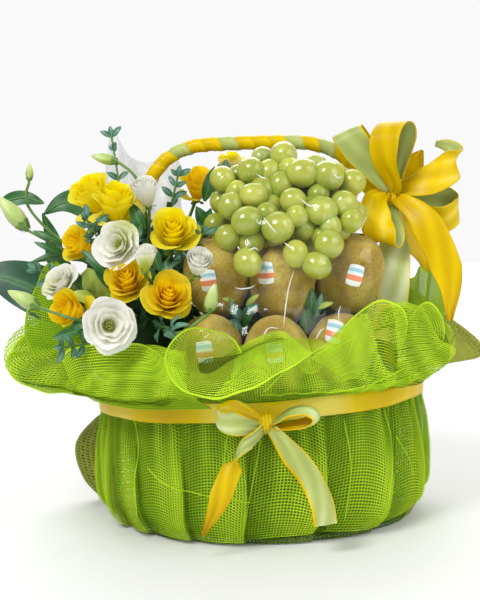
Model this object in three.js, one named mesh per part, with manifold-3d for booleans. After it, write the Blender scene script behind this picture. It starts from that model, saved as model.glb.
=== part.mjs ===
// A fruit gift basket: an oval woven tub with an arched handle, wrapped in two sheets of open mesh that a
// satin ribbon gathers at the waist. Kiwis and a bunch of grapes fill the front, and yellow roses, white
// lisianthus, buds and broad leaves stand in greenery at the left. Millimetres, +Z up, front at -Y, origin in
// the middle of the tub's flat underside.
import * as THREE from "three";
import { mergeVertices } from "three/addons/utils/BufferGeometryUtils.js";
import Module from "manifold-3d";

const wasm = await Module();
wasm.setup();

// Driving dimensions
const OVAL = 0.86; // front-to-back size of every ring, as a share of its width
const TUB = {
  foot: 114,
  swell: 126.4, // radius part of the way up
  swellHeight: 65,
  rim: 134,
  height: 108,
  wall: 4,
  bead: 2.5,
  floor: 6,
  sides: 22,
};
const HANDLE = {
  centre: 3,
  half: 122,
  top: 340,
  shoulder: 170,
  footInset: 10, // how far the feet lean in below the shoulders
  buried: 66, // how far the feet reach down into the packing
  rod: 7.5,
  squareLeft: 4.8, // powers of the superellipse: across at either side, and upward
  squareRight: 3.8,
  crown: 2.2,
};
const SHEET = 1.2; // thickness of a mesh sheet's solid
const WAIST = { radius: 146.6, height: 114, slant: 0.035, straight: 12 };
const SKIRT = { hem: 138, belly: 150.5, bellyHeight: 55, pleat: 3.6, hemGap: 1.6 };
const BACK_INSET = 4.5; // how far the back sheet lies inside the front one where they overlap
const WAIST_RIBBON = { width: 19, thick: 0.9, clear: 1.1 };
const BOW_RIBBON = { width: 28, thick: 0.9 };
const TAPER_LENGTH = 0.3; // share of a strip's length over which its end narrows
const KIWI = { radius: 28, length: 70, blunt: 0.85, sides: 11 };
const BED = { height: 138, inset: 4 }; // packing that the fruit lies on, standing above the rim
const WIDE_STEP = 9; // degrees between a sheet's columns, above which one more is added
const FIT_GAP = 0.35; // clearance where one piece is cut round another

const COLOURS = {
  wicker: "#7a5a34",
  gold: "#e8b90c",
  sage: "#b9cb82",
  lime: "#8fce12",
  olive: "#9aa84a",
  kiwi: "#8f7a3c",
  grape: "#b5c94c",
  rose: "#f2c40a",
  lisianthus: "#f4f4ee",
  bud: "#a9c25a",
  leaf: "#1f4a2c",
  greenery: "#2c5232",
  tissue: "#dfe2e2",
};

// Front sheet: angle, then radius and height of its outer lip, of the dip behind it and of its inner crest
const FRONT_COLLAR = [
  [172, 204, 180, 186, 186, 168, 184],
  [180, 227, 164, 200, 172, 168, 176],
  [188, 231, 146, 202, 158, 166, 170],
  [196, 222, 136, 196, 152, 164, 170],
  [204, 192, 131, 180, 150, 163, 168],
  [214, 198, 134, 181, 152, 163, 167],
  [227, 201, 132, 182, 154, 163, 168],
  [239, 194, 130, 180, 150, 163, 169],
  [248, 196, 146, 179, 142, 163, 182],
  [257, 198, 150, 181, 140, 163, 194],
  [267, 195, 156, 179, 156, 163, 181],
  [276, 190, 150, 176, 160, 162, 178],
  [285, 184, 135, 173, 148, 161, 168],
  [294, 182, 132, 171, 145, 160, 180],
  [306, 183, 133, 170, 149, 159, 193],
  [318, 186, 137, 171, 160, 160, 197],
  [330, 190, 150, 177, 164, 164, 193],
  [342, 180, 162, 174, 172, 163, 188],
  [355, 169, 170, 166, 176, 160, 178],
];

// Back sheet: angle, then belly radius, and radius and height of its outer lip and of its inner crest
const BACK_COLLAR = [
  [-25, 150.5, 143, 128, 140, 132],
  [-9, 150.5, 143, 128, 140, 132],
  [-4, 150.5, 144, 130, 141, 134],
  [1, 152, 196, 138, 166, 172],
  [7, 154, 214, 142, 168, 182],
  [16, 156, 208, 152, 172, 186],
  [32, 158, 190, 176, 164, 204],
  [58, 158, 184, 206, 160, 226],
  [90, 158, 180, 214, 158, 234],
  [124, 158, 182, 210, 160, 230],
  [146, 166, 192, 206, 168, 226],
  [157, 192, 206, 194, 184, 222],
  [163, 194, 198, 176, 176, 204],
  [168, 162, 156, 140, 150, 146],
  [171, 150.5, 143, 128, 140, 132],
  [180, 150.5, 143, 128, 140, 132],
  [205, 150.5, 143, 128, 140, 132],
];

// Kiwis: place of the middle, and the lean of the long axis to the right and to the front, in degrees
const KIWIS = [
  { at: [-37, -71, 223], lean: [-8, 12] },
  { at: [20, -76, 217], lean: [6, 16] },
  { at: [79, -68, 223], lean: [16, 10] },
  { at: [-45, -92, 161], lean: [20, 58] },
  { at: [13, -98, 159], lean: [-10, 62] },
  { at: [66, -79, 158], lean: [16, 58] },
];

// Grapes, in rows from the top: height, then across, forward and radius of each
const GRAPE_ROWS = [
  [321, [6, -42, 9], [25, -58, 12], [49, -47, 10.6], [70, -46, 9.7]],
  [306, [-28, -62, 10.8], [-6, -72, 11.2], [17, -70, 11], [38, -82, 11.2], [61, -77, 11.9], [79, -58, 10.6]],
  [284, [-25, -82, 11.4], [-3, -91, 11.4], [27, -97, 11.9], [51, -97, 11.4], [74, -82, 11.4]],
  [264, [-37, -70, 10.6], [-9, -101, 12.5], [17, -106, 12.6], [39, -92, 11], [71, -82, 11], [83, -66, 10.6]],
  [252, [-27, -94, 11.3], [57, -108, 12.2]],
  [241, [-11, -109, 12.6], [29, -112, 10.7], [45, -113, 10.7]],
];
const GRAPE_CORES = [
  { at: [25, -49, 288], half: [62, 33, 36] },
  { at: [25, -84, 267], half: [62, 23, 22] },
];

// Roses: middle of the head, its radius and the way it faces, and where the stem of a tall one ends
const ROSES = [
  { at: [-146, -22, 294], radius: 20, faces: [-0.6, -0.5, 0.6] },
  { at: [-122, -52, 286], radius: 21, faces: [0.1, -0.6, 0.8] },
  { at: [-72, -86, 264], radius: 22, faces: [0.05, -0.8, 0.6] },
  { at: [-154, -53, 253], radius: 18, faces: [-0.6, -0.7, 0.35] },
  { at: [-160, -92, 199], radius: 18, faces: [-0.5, -0.8, 0.3] },
  { at: [-112, -92, 224], radius: 20, faces: [-0.1, -0.8, 0.6] },
  { at: [-76, -112, 211], radius: 22, faces: [0.15, -0.85, 0.5] },
  { at: [-52, -24, 303], radius: 17, faces: [0.15, -0.6, 0.8], root: [-80, -12, 236] },
  { at: [-22, 36, 322], radius: 15, faces: [0.1, 0.2, 1], root: [-6, 22, 216] },
];

// White lisianthus, open and still closed
const OPEN_LISIANTHUS = [
  { at: [-121, -134, 190], radius: 25, faces: [0.1, -0.95, 0.2] },
  { at: [-119, -92, 254], radius: 20.5, faces: [-0.35, -0.85, 0.3] },
  { at: [-173, -68, 223], radius: 18, faces: [-0.5, -0.6, 0.6] },
];
const CLOSED_LISIANTHUS = [
  { at: [-96, -64, 297], radius: 12.5, faces: [-0.15, -0.25, 1], root: [-100, -36, 238] },
  { at: [-94, -117, 243], radius: 10.5, faces: [0.05, -0.3, 1], root: [-82, -58, 214] },
  { at: [-50, -122, 238], radius: 12, faces: [0.3, -0.55, 0.9], root: [-80, -50, 200] },
];

// Green buds: the course of the stem from the greenery, the bud's tip and its radius
const BUDS = [
  { stem: [[-96, -22, 256], [-104, -34, 306], [-122, -32, 325]], tip: [-146, -32, 331], radius: 4.6 },
  {
    stem: [[-138, -6, 226], [-186, -6, 262], [-208, -8, 290], [-205, -8, 310]],
    tip: [-204, -8, 327],
    radius: 3.4,
  },
  { stem: [[-138, -22, 226], [-180, -26, 252], [-205, -24, 266]], tip: [-232, -22, 298], radius: 7.5 },
  { stem: [[-128, -50, 180], [-154, -112, 194], [-184, -102, 203]], tip: [-212, -96, 218], radius: 6 },
  {
    stem: [[-86, -50, 180], [-78, -100, 180], [-64, -126, 183], [-43, -129, 197]],
    tip: [-37, -132, 222],
    radius: 5.5,
  },
];

// Broad leaves: course from base to tip, greatest width and the way the upper face looks
const BROAD_LEAVES = [
  {
    course: [[-140, -4, 180], [-178, -12, 198], [-212, -12, 216], [-238, -10, 224], [-258, -8, 214]],
    width: 46,
    faces: [0.15, -1, 0.35],
  },
  {
    course: [[-236, -9, 289], [-221, -9, 294], [-208, -9, 295], [-192, -10, 290]],
    width: 14,
    faces: [0, -1, 0.3],
  },
  {
    course: [[-112, 0, 250], [-134, 8, 272], [-158, 11, 288], [-178, 10, 290], [-196, 10, 280]],
    width: 28,
    faces: [0.1, -1, 0.3],
  },
  {
    course: [[-138, 0, 200], [-166, 2, 214], [-184, 4, 236], [-188, 4, 258], [-196, 3, 281]],
    width: 19,
    faces: [0, -1, 0.1],
  },
  {
    course: [[-132, -8, 226], [-152, -11, 239], [-178, -14, 243], [-206, -17, 237]],
    width: 12,
    faces: [0, -1, 0.4],
  },
];
const TISSUE = { foot: [-96, 34, 240], tip: [-119, 36, 350], width: 72, faces: [0, -1, 0.1] };

// Masses of foliage on the bed: the flowers' at the left, a lower one behind the fruit and one that tops it
const FOLIAGE = [
  { at: [-106, -20, 196], half: [46, 48, 72] },
  { at: [30, 10, 184], half: [72, 44, 58] },
  { at: [30, 34, 220], half: [64, 19, 38] },
];

// Leafy sprigs: foot in the foliage, tip, pairs of leaves and the length of a leaf
const SPRIGS = [
  { foot: [-118, 0, 256], tip: [-129, 0, 348], pairs: 2, leaf: 26 },
  { foot: [-130, -40, 240], tip: [-146, -80, 276], pairs: 2, leaf: 20 },
  { foot: [-110, -50, 170], tip: [-164, -124, 172], pairs: 2, leaf: 22 },
  { foot: [-94, -50, 180], tip: [-72, -132, 186], pairs: 3, leaf: 22 },
  { foot: [-86, -30, 246], tip: [-68, -46, 312], pairs: 2, leaf: 19 },
  { foot: [-74, -40, 210], tip: [-46, -92, 262], pairs: 2, leaf: 20 },
  { foot: [-140, -30, 200], tip: [-194, -44, 232], pairs: 1, leaf: 26 },
];

// The bow at the front of the waist: each strip's course, and which way its width lies at start and end
const FRONT_KNOT = { at: [2, -138, 107], half: [7.5, 6, 8.5] };
const FRONT_BOW = {
  loop_left: {
    course: [
      [-7, -144, 111], [-17, -150, 118], [-28, -152, 121],
      [-33, -149, 118], [-26, -145, 113], [-7, -140, 106],
    ],
    across: [[0.3, 0.2, 1], [0.3, 0.2, 1]],
    taper: [0.35, 0.35],
  },
  loop_right: {
    course: [
      [11, -143, 110], [23, -144, 118], [37, -145, 120],
      [44, -145, 114], [37, -145, 108], [11, -143, 104],
    ],
    across: [[0, 1, 0.25], [0, 1, 0.25]],
    taper: [0.35, 0.35],
  },
  tail_left: {
    course: [[-6, -147, 100], [-18, -153, 90], [-30, -155, 68], [-40, -156, 44], [-52, -155, 20]],
    across: [[0.5, 0.7, -0.5], [1, 0, 0.1]],
    taper: [0.4, 0.15],
  },
  tail_right: {
    course: [[9, -147, 100], [20, -153, 86], [34, -155, 68], [44, -156, 46], [47, -155, 27]],
    across: [[0.75, 0, 0.6], [1, 0, 0]],
    taper: [0.4, 1],
  },
};

// The large bow tied to the handle's right shoulder
const HANDLE_KNOT = { at: [121, -18, 286], half: [7, 8, 9] };
const HANDLE_BOW = {
  loop_sage: {
    course: [
      [116, -28, 297], [100, -30, 318], [83, -29, 342],
      [82, -19, 349], [92, -13, 336], [111, -13, 299],
    ],
    across: [[0.9, -0.25, 0.35], [0.9, -0.25, 0.35]],
    taper: [0.35, 0.35],
  },
  loop_gold: {
    course: [
      [122, -32, 298], [112, -45, 320], [113, -46, 343],
      [123, -34, 355], [132, -22, 345], [125, -17, 298],
    ],
    across: [[0.85, -0.5, 0], [0.8, -0.6, 0]],
    taper: [0.35, 0.25],
  },
  loop_low: {
    course: [
      [113, -26, 291], [104, -40, 284], [104, -52, 262],
      [112, -50, 249], [119, -38, 262], [117, -28, 277],
    ],
    across: [[0.9, -0.1, -0.4], [0.9, -0.1, -0.4]],
    taper: [0.35, 0.35],
  },
  curl: {
    course: [
      [130, -22, 294], [147, -30, 299], [165, -29, 307],
      [178, -20, 318], [177, -8, 331], [164, -5, 335],
    ],
    across: [[0.2, 0.3, 0.9], [0.3, 0.4, 0.85]],
    taper: [0.35, 0.2],
  },
  point: {
    course: [[129, -10, 300], [139, -7, 312], [152, -5, 329]],
    across: [[0.75, -0.4, -0.5], [0.7, -0.5, -0.5]],
    taper: [0.45, 0.1],
  },
  loop_side: {
    course: [
      [131, -10, 286], [153, -2, 283], [174, 0, 284],
      [185, -8, 275], [172, -17, 266], [154, -15, 270],
    ],
    across: [[-0.15, -0.5, 0.85], [-0.15, -0.5, 0.85]],
    taper: [0.3, 0.4],
  },
  tail_gold: {
    course: [[128, -30, 284], [143, -43, 271], [156, -50, 247], [167, -52, 213], [167, -51, 178]],
    across: [[0.8, -0.2, 0.55], [0.95, 0.2, 0.1]],
    taper: [0.35, 0.2],
  },
  tail_sage: {
    course: [[122, -20, 272], [122, -27, 248], [120, -42, 222], [116, -48, 192], [108, -50, 162]],
    across: [[1, -0.1, 0], [1, -0.1, 0.1]],
    taper: [0.4, 0.9],
  },
  tail_thin: {
    course: [[129, -12, 276], [139, -14, 255], [149, -18, 235], [152, -20, 219]],
    across: [[0.8, 0.5, 0.2], [0.8, 0.5, 0.2]],
    taper: [0.3, 0.2],
  },
};

// Profiles of the flower heads, as shares of the radius: distance out, height and wave of the rim
const PETALS = 5;
const ROSE = [
  [0.1, -1.6], [0.16, -0.9], [0.66, -0.58], [1, 0, 0.06],
  [0.96, 0.2, 0.1], [0.66, 0.1], [0.56, 0.38, 0.07], [0.3, 0.3],
];
const LISIANTHUS = [
  [0.08, -2.2], [0.14, -0.66], [0.52, -0.4], [0.94, -0.02, 0.05],
  [0.98, 0.2, 0.08], [0.7, 0.08, 0.04], [0.56, 0.2, 0.06], [0.3, 0.02],
];
const CLOSED = [[0.2, -1.45], [0.72, -1], [1, -0.2], [0.9, 0.6], [0.6, 1.1, 0.08], [0.2, 1.15]];
const BUD = [[0.3, -0.5], [0.85, -0.3], [1, 0], [0.7, 0.28], [0.2, 0.5]];

// Small helpers
const radians = THREE.MathUtils.degToRad;
const vec = (p) => new THREE.Vector3(...p);
const range = (from, to, steps) =>
  Array.from({ length: steps + 1 }, (_, i) => from + ((to - from) * i) / steps);
const turns = (sides) => range(0, 2 * Math.PI, sides).slice(1);
const ringPoint = (radius, degrees, z) =>
  new THREE.Vector3(radius * Math.cos(radians(degrees)), OVAL * radius * Math.sin(radians(degrees)), z);

// The columns of a table at x, on a smooth curve through its rows
function smoothRow(table, x) {
  const last = table.length - 1;
  const i = Math.min(Math.max(table.findIndex((row) => x < row[0]) - 1, 0), last - 1);
  const k = x >= table[last][0] ? last - 1 : i;
  const slope = (n, c) => {
    const before = table[Math.max(n - 1, 0)];
    const after = table[Math.min(n + 1, last)];
    return (after[c] - before[c]) / (after[0] - before[0]);
  };
  const [from, to] = [table[k], table[k + 1]];
  const span = to[0] - from[0];
  const t = (x - from[0]) / span;
  const ease = t * t * (3 - 2 * t);
  return from.slice(1).map((value, n) => {
    const pull = t * (1 - t) ** 2 * slope(k, n + 1) - t * t * (1 - t) * slope(k + 1, n + 1);
    return value + (to[n + 1] - value) * ease + span * pull;
  });
}

// The table's own angles, with one more in the middle of each wide step
function columnAngles(table) {
  const angles = table.map((row) => row[0]);
  return angles.flatMap((angle, i) => {
    const before = angles[i - 1] ?? angle;
    return angle - before > WIDE_STEP ? [(before + angle) / 2, angle] : [angle];
  });
}

// A geometry as a solid with its faces pointing out, and a solid as a geometry
function toSolid(geometry) {
  const plain = geometry.index ? geometry.toNonIndexed() : geometry.clone();
  plain.deleteAttribute("normal");
  plain.deleteAttribute("uv");
  const merged = mergeVertices(plain, 1e-4);
  const vertProperties = merged.attributes.position.array;
  const triVerts = new Uint32Array(merged.index.array);
  const solid = new wasm.Manifold(new wasm.Mesh({ numProp: 3, vertProperties, triVerts }));
  if (solid.volume() > 0) return solid;
  return new wasm.Manifold(new wasm.Mesh({ numProp: 3, vertProperties, triVerts: triVerts.reverse() }));
}

function toGeometry(solid) {
  const mesh = solid.getMesh();
  const positions = new Float32Array(mesh.numVert * 3);
  for (let i = 0; i < mesh.numVert; i++) {
    positions.set(mesh.vertProperties.subarray(i * mesh.numProp, i * mesh.numProp + 3), i * 3);
  }
  return new THREE.BufferGeometry()
    .setAttribute("position", new THREE.BufferAttribute(positions, 3))
    .setIndex(new THREE.BufferAttribute(new Uint32Array(mesh.triVerts), 1));
}

// A solid grown by the fit gap along its corner normals, to cut a neighbour with
function grown(solid) {
  const geometry = toGeometry(solid);
  geometry.computeVertexNormals();
  const { position, normal } = geometry.attributes;
  for (let i = 0; i < position.array.length; i++) position.array[i] += FIT_GAP * normal.array[i];
  return toSolid(geometry);
}

const largest = (solid) => solid.decompose().reduce((a, b) => (b.volume() > a.volume() ? b : a));

function boxesMeet(a, b) {
  const [p, q] = [a.boundingBox(), b.boundingBox()];
  return [0, 1, 2].every((k) => p.min[k] - FIT_GAP < q.max[k] && q.min[k] - FIT_GAP < p.max[k]);
}

// A piece cut clear of its neighbours, without the scraps that the cut leaves
function clearOf(solid, neighbours) {
  let fitted = solid;
  for (const neighbour of neighbours) {
    if (!boxesMeet(fitted, neighbour)) continue;
    const cutter = grown(neighbour);
    if (fitted.intersect(cutter).volume() > 0) fitted = largest(fitted.subtract(cutter));
  }
  return fitted;
}

// A closed body from rings of points, each joined to the next, with a fan over both ends
function ringBody(rings) {
  const count = rings[0].length;
  const corners = [];
  const triangle = (a, b, c) => corners.push(a, b, c);
  for (let i = 0; i + 1 < rings.length; i++) {
    for (let j = 0; j < count; j++) {
      const k = (j + 1) % count;
      triangle(rings[i][j], rings[i][k], rings[i + 1][k]);
      triangle(rings[i][j], rings[i + 1][k], rings[i + 1][j]);
    }
  }
  for (const [ring, flip] of [[rings[0], true], [rings[rings.length - 1], false]]) {
    const middle = ring.reduce((sum, p) => sum.add(p), new THREE.Vector3()).divideScalar(count);
    for (let j = 0; j < count; j++) {
      const k = (j + 1) % count;
      triangle(middle, ring[flip ? k : j], ring[flip ? j : k]);
    }
  }
  return toSolid(new THREE.BufferGeometry().setFromPoints(corners));
}

// A thin closed sheet over columns of points
function sheetBody(columns, thickness) {
  const [nu, nv] = [columns.length, columns[0].length];
  const at = (i, j) => columns[THREE.MathUtils.clamp(i, 0, nu - 1)][THREE.MathUtils.clamp(j, 0, nv - 1)];
  const face = (side) =>
    columns.map((column, i) =>
      column.map((p, j) => {
        const along = at(i + 1, j).clone().sub(at(i - 1, j));
        const down = at(i, j + 1).clone().sub(at(i, j - 1));
        return along.cross(down).setLength((side * thickness) / 2).add(p);
      }),
    );
  const [top, under] = [face(1), face(-1)];
  const corners = [];
  const quad = (a, b, c, d) => corners.push(a, b, c, a, c, d);
  for (let i = 0; i + 1 < nu; i++) {
    for (let j = 0; j + 1 < nv; j++) {
      quad(top[i][j], top[i + 1][j], top[i + 1][j + 1], top[i][j + 1]);
      quad(under[i][j], under[i][j + 1], under[i + 1][j + 1], under[i + 1][j]);
    }
    quad(top[i][0], under[i][0], under[i + 1][0], top[i + 1][0]);
    quad(top[i][nv - 1], top[i + 1][nv - 1], under[i + 1][nv - 1], under[i][nv - 1]);
  }
  for (let j = 0; j + 1 < nv; j++) {
    quad(top[0][j], top[0][j + 1], under[0][j + 1], under[0][j]);
    quad(top[nu - 1][j], under[nu - 1][j], under[nu - 1][j + 1], top[nu - 1][j + 1]);
  }
  return toSolid(new THREE.BufferGeometry().setFromPoints(corners));
}

// A round rod along a course of points
function rod(course, radius, steps, sides) {
  const corners = turns(sides).map((a) => new THREE.Vector2(radius * Math.cos(a), radius * Math.sin(a)));
  const section = new THREE.Shape(corners);
  const extrudePath = new THREE.CatmullRomCurve3(course.map((p) => (p.isVector3 ? p : vec(p))));
  return toSolid(new THREE.ExtrudeGeometry(section, { steps, extrudePath, bevelEnabled: false }));
}

function ellipsoid({ at, half }, across, down) {
  return toSolid(new THREE.SphereGeometry(1, across, down).scale(...half).translate(...at));
}

// An oval body turned from an outline of radius and height
function turned(outline, sides) {
  const profile = outline.map(([r, z]) => new THREE.Vector2(r, z));
  return new THREE.LatheGeometry(profile, sides).rotateX(Math.PI / 2).scale(1, OVAL, 1);
}

// Woven tub: an open oval vessel with a thick rim
function tub() {
  const { foot, rim, height, wall, bead, floor, swell, swellHeight } = TUB;
  const outline = [
    [0, 0],
    [foot, 0],
    [swell, swellHeight],
    [rim, height - 6],
    [rim + bead, height - 3],
    [rim + bead, height],
    [rim - wall, height],
    [swell - wall, swellHeight],
    [foot - wall, floor],
    [0, floor],
  ];
  return toSolid(turned(outline, TUB.sides));
}

// Arched handle: a boxy hoop whose feet stand just inside the rim
function handle() {
  const { centre, half, top, shoulder, footInset, buried, squareLeft, squareRight, crown, rod: radius } = HANDLE;
  const arch = range(180, 0, 12).map((a) => {
    const [c, s] = [Math.cos(radians(a)), Math.sin(radians(a))];
    const x = half * Math.sign(c) * Math.abs(c) ** (2 / (c < 0 ? squareLeft : squareRight));
    return [centre + x, 0, shoulder + (top - shoulder) * Math.max(s, 0) ** (2 / crown)];
  });
  const foot = (side) => [centre + side * (half - footInset), 0, BED.height - buried];
  return rod([foot(-1), ...arch, foot(1)], radius, 24, 6);
}

// Height of the gathered waist, which the slant lifts at the right
const waistHeight = (degrees) => WAIST.height + WAIST.slant * WAIST.radius * Math.cos(radians(degrees));

// Section of a sheet's skirt up to the top of the waist, as radius and height
function skirtSection(degrees, belly, inset) {
  const ripple = 0.6 * Math.cos(radians(13 * degrees + 20)) + 0.4 * Math.cos(radians(7 * degrees + 75));
  const fold = SKIRT.pleat * ripple;
  const waist = waistHeight(degrees);
  const hem = SKIRT.hem + (belly - SKIRT.belly) * 0.7;
  return [
    [hem - inset + fold, SKIRT.hemGap],
    [(hem + 3 * belly) / 4 + 1 - inset + fold, SKIRT.bellyHeight * 0.4],
    [belly - inset + fold, SKIRT.bellyHeight],
    [(belly + WAIST.radius) / 2 + 0.8 - inset * 0.8 + fold * 0.5, (SKIRT.bellyHeight + waist) / 2],
    [WAIST.radius - inset * 0.5, waist - WAIST.straight],
    [WAIST.radius - inset * 0.5, waist + WAIST.straight],
  ];
}

// Front sheet: skirt, then a collar that turns out, over a lip and back in behind the fruit
function frontSection(degrees) {
  const [lipR, lipZ, dipR, dipZ, crestR, crestZ] = smoothRow(FRONT_COLLAR, degrees);
  const above = waistHeight(degrees) + WAIST.straight;
  return [
    ...skirtSection(degrees, SKIRT.belly, 0),
    [(WAIST.radius + lipR) / 2, 0.75 * Math.min(above + 2, lipZ - 2) + 0.25 * lipZ],
    [lipR, lipZ],
    [lipR - 6, lipZ + 9],
    [dipR, dipZ],
    [crestR + 2, crestZ - 4],
    [crestR - 4, crestZ],
    [crestR - 10, crestZ - 18],
  ].map(([r, z]) => ringPoint(r, degrees, z));
}

// Back sheet: skirt with a bulge at the left, then a plainer collar that rises behind the handle
function backSection(degrees) {
  const [belly, lipR, lipZ, crestR, crestZ] = smoothRow(BACK_COLLAR, degrees);
  const above = waistHeight(degrees) + WAIST.straight;
  return [
    ...skirtSection(degrees, belly, BACK_INSET),
    [(WAIST.radius - BACK_INSET * 0.5 + lipR) / 2, 0.7 * above + 0.3 * lipZ],
    [lipR, lipZ],
    [crestR, crestZ],
    [crestR - 4, crestZ - 2],
  ].map(([r, z]) => ringPoint(r, degrees, z));
}

const meshSheet = (table, section) => sheetBody(columnAngles(table).map(section), SHEET);

// Ribbon round the waist: a flat closed band that leans with the waist
function waistRibbon() {
  const inner = WAIST.radius + SHEET / 2 + WAIST_RIBBON.clear;
  const outer = inner + WAIST_RIBBON.thick;
  const half = WAIST_RIBBON.width / 2;
  const section = [[inner, -half], [outer, -half], [outer, half], [inner, half], [inner, -half]];
  const lean = new THREE.Matrix4().set(1, 0, 0, 0, 0, 1, 0, 0, WAIST.slant, 0, 1, WAIST.height, 0, 0, 0, 1);
  return toSolid(turned(section, 36).applyMatrix4(lean));
}

// Flat ribbon along a course: its width turns from one direction to another, and its ends narrow
function ribbonStrip({ course, across, taper }, { width, thick }, steps) {
  const curve = new THREE.CatmullRomCurve3(course.map(vec), false, "centripetal");
  const columns = range(0, 1, steps).map((t) => {
    const widening = (share, t01) => share + (t01 / TAPER_LENGTH) * (1 - share);
    const opened = Math.min(1, widening(taper[0], t), widening(taper[1], 1 - t));
    const side = vec(across[0]).lerp(vec(across[1]), t).setLength((width * opened) / 2);
    const p = curve.getPointAt(t);
    return [p.clone().sub(side), p, p.clone().add(side)];
  });
  return sheetBody(columns, thick);
}

// A head turned from a profile of distance out and height, with waves on its rings
function turnedHead(profile, { at, radius, faces }, sides, length = radius) {
  const turn = new THREE.Quaternion().setFromUnitVectors(new THREE.Vector3(0, 0, 1), vec(faces).normalize());
  const rings = profile.map(([out, height, wave = 0]) =>
    turns(sides).map((a) => {
      const r = radius * out * (1 + wave * Math.cos(PETALS * a + height));
      const h = length * (height + 1.2 * wave * Math.sin(PETALS * a + 1));
      return new THREE.Vector3(r * Math.cos(a), r * Math.sin(a), h).applyQuaternion(turn).add(vec(at));
    }),
  );
  return ringBody(rings);
}

// A flower: its head, and for a tall one a stem that leaves the back of the head and bends to its root
function flower(profile, spec, sides) {
  const head = turnedHead(profile, spec, sides);
  if (!spec.root) return head;
  const back = vec(spec.faces).normalize().multiplyScalar(profile[0][1] * spec.radius);
  const start = vec(spec.at).addScaledVector(back, 0.7);
  const bend = vec(spec.at).addScaledVector(back, 1.3).lerp(vec(spec.root), 0.3);
  return head.add(rod([start, bend, vec(spec.root)], 1.8, 3, 4));
}

// A bud on its stem
function bud({ stem, tip, radius }) {
  const neck = vec(stem[stem.length - 1]);
  const axis = vec(tip).sub(neck);
  const middle = neck.clone().addScaledVector(axis, 0.5);
  const head = turnedHead(BUD, { at: middle.toArray(), radius, faces: axis.toArray() }, 6, axis.length());
  return head.add(rod([...stem, neck.clone().addScaledVector(axis, 0.25).toArray()], 1.5, 5, 4));
}

// A thin wavy leaf along a course, its two halves raised from the midrib
function leaf({ course, width, faces }, steps) {
  const curve = new THREE.CatmullRomCurve3(course.map(vec));
  const normal = vec(faces).normalize();
  const columns = range(0, 1, steps).map((t) => {
    const side = curve.getTangentAt(t).cross(normal).normalize();
    const half = 0.5 * width * Math.max(Math.sin(Math.PI * Math.min(0.06 + 0.92 * t, 1)) ** 0.8, 0.08);
    const wave = 0.06 * width * Math.sin(9 * t);
    return [-1, 0, 1].map((s) => {
      const lift = Math.abs(s) * (0.16 * half + wave * s);
      return curve.getPointAt(t).addScaledVector(side, s * half).addScaledVector(normal, lift);
    });
  });
  return sheetBody(columns, 1);
}

// A pair of small leaves that spread from one point of a stem, in one strip
function leafPair(from, direction, sideways, front, length) {
  const columns = [-1, -0.5, 0, 0.5, 1].map((reach) => {
    const side = reach < 0 ? -1 : 1;
    const along = sideways.clone().multiplyScalar(side).addScaledVector(direction, 0.6).normalize();
    const half = length * { 0: 0.06, 0.5: 0.2, 1: 0.02 }[Math.abs(reach)];
    const across = along.clone().cross(front).setLength(half * side);
    const middle = from.clone().addScaledVector(along, Math.abs(reach) * length);
    return [middle.clone().sub(across), middle.add(across)];
  });
  return sheetBody(columns, 1);
}

// A sprig: pairs of leaves set crosswise along a thin stem
function sprig({ foot, tip, pairs, leaf: length }) {
  const axis = vec(tip).sub(vec(foot));
  const direction = axis.clone().normalize();
  const front = new THREE.Vector3(0, -1, 0.2).projectOnPlane(direction).normalize();
  const sideways = direction.clone().cross(front);
  const middle = vec(foot).addScaledVector(axis, 0.5);
  const parts = [rod([vec(foot), middle, vec(tip)], 1.4, 2, 4)];
  for (let i = 0; i < pairs; i++) {
    const from = vec(foot).addScaledVector(axis, 0.4 + (0.55 * (i + 1)) / pairs);
    const turned = sideways.clone().applyAxisAngle(direction, i % 2 ? 0.7 : 0);
    parts.push(leafPair(from, direction, turned, front, length));
  }
  return wasm.Manifold.union(parts);
}

// Packing in the tub that stands above the rim and carries the fruit
function bed() {
  const lining = TUB.wall + 1;
  const under = TUB.floor + 0.5;
  const outline = [
    [0, under],
    [TUB.foot - lining, under],
    [TUB.swell - lining, TUB.swellHeight],
    [TUB.rim - lining, TUB.height],
    [TUB.rim - lining - BED.inset, BED.height],
    [0, BED.height],
  ];
  return toSolid(turned(outline, TUB.sides));
}

function greenery() {
  const masses = FOLIAGE.map((mass) => ellipsoid(mass, 10, 7));
  return wasm.Manifold.union([bed(), ...masses, ...SPRIGS.map(sprig)]);
}

function tissue() {
  const { foot, tip, width, faces } = TISSUE;
  const middle = foot.map((value, k) => (value + tip[k]) / 2);
  return leaf({ course: [foot, middle, tip], width, faces }, 5);
}

// A kiwi: a blunt oval body that leans to the right and to the front
function kiwi({ at, lean }) {
  const profile = range(-90, 90, 6).map((a) => {
    const out = Math.abs(a) === 90 ? 0 : Math.cos(radians(a)) ** KIWI.blunt;
    return new THREE.Vector2(KIWI.radius * out, (KIWI.length / 2) * Math.sin(radians(a)));
  });
  const geometry = new THREE.LatheGeometry(profile, KIWI.sides).rotateX(Math.PI / 2);
  const faces = [Math.sin(radians(lean[0])), -Math.sin(radians(lean[1])), Math.cos(radians(lean[0]))];
  const turn = new THREE.Quaternion().setFromUnitVectors(new THREE.Vector3(0, 0, 1), vec(faces).normalize());
  return toSolid(geometry.applyQuaternion(turn).translate(...at));
}

// A bunch of grapes: the ones that show, fused to a plain core
function grapes() {
  const fruit = GRAPE_ROWS.flatMap(([z, ...row]) =>
    row.map(([x, y, radius]) => ellipsoid({ at: [x, y, z], half: [radius, radius, radius * 1.06] }, 7, 5)),
  );
  return wasm.Manifold.union([...GRAPE_CORES.map((core) => ellipsoid(core, 10, 6)), ...fruit]);
}

// The model: each piece is cut clear of the neighbours made before it, and hangs in its group by its middle
const basket = new THREE.Group();
const groups = {};
const placed = [];

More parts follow.
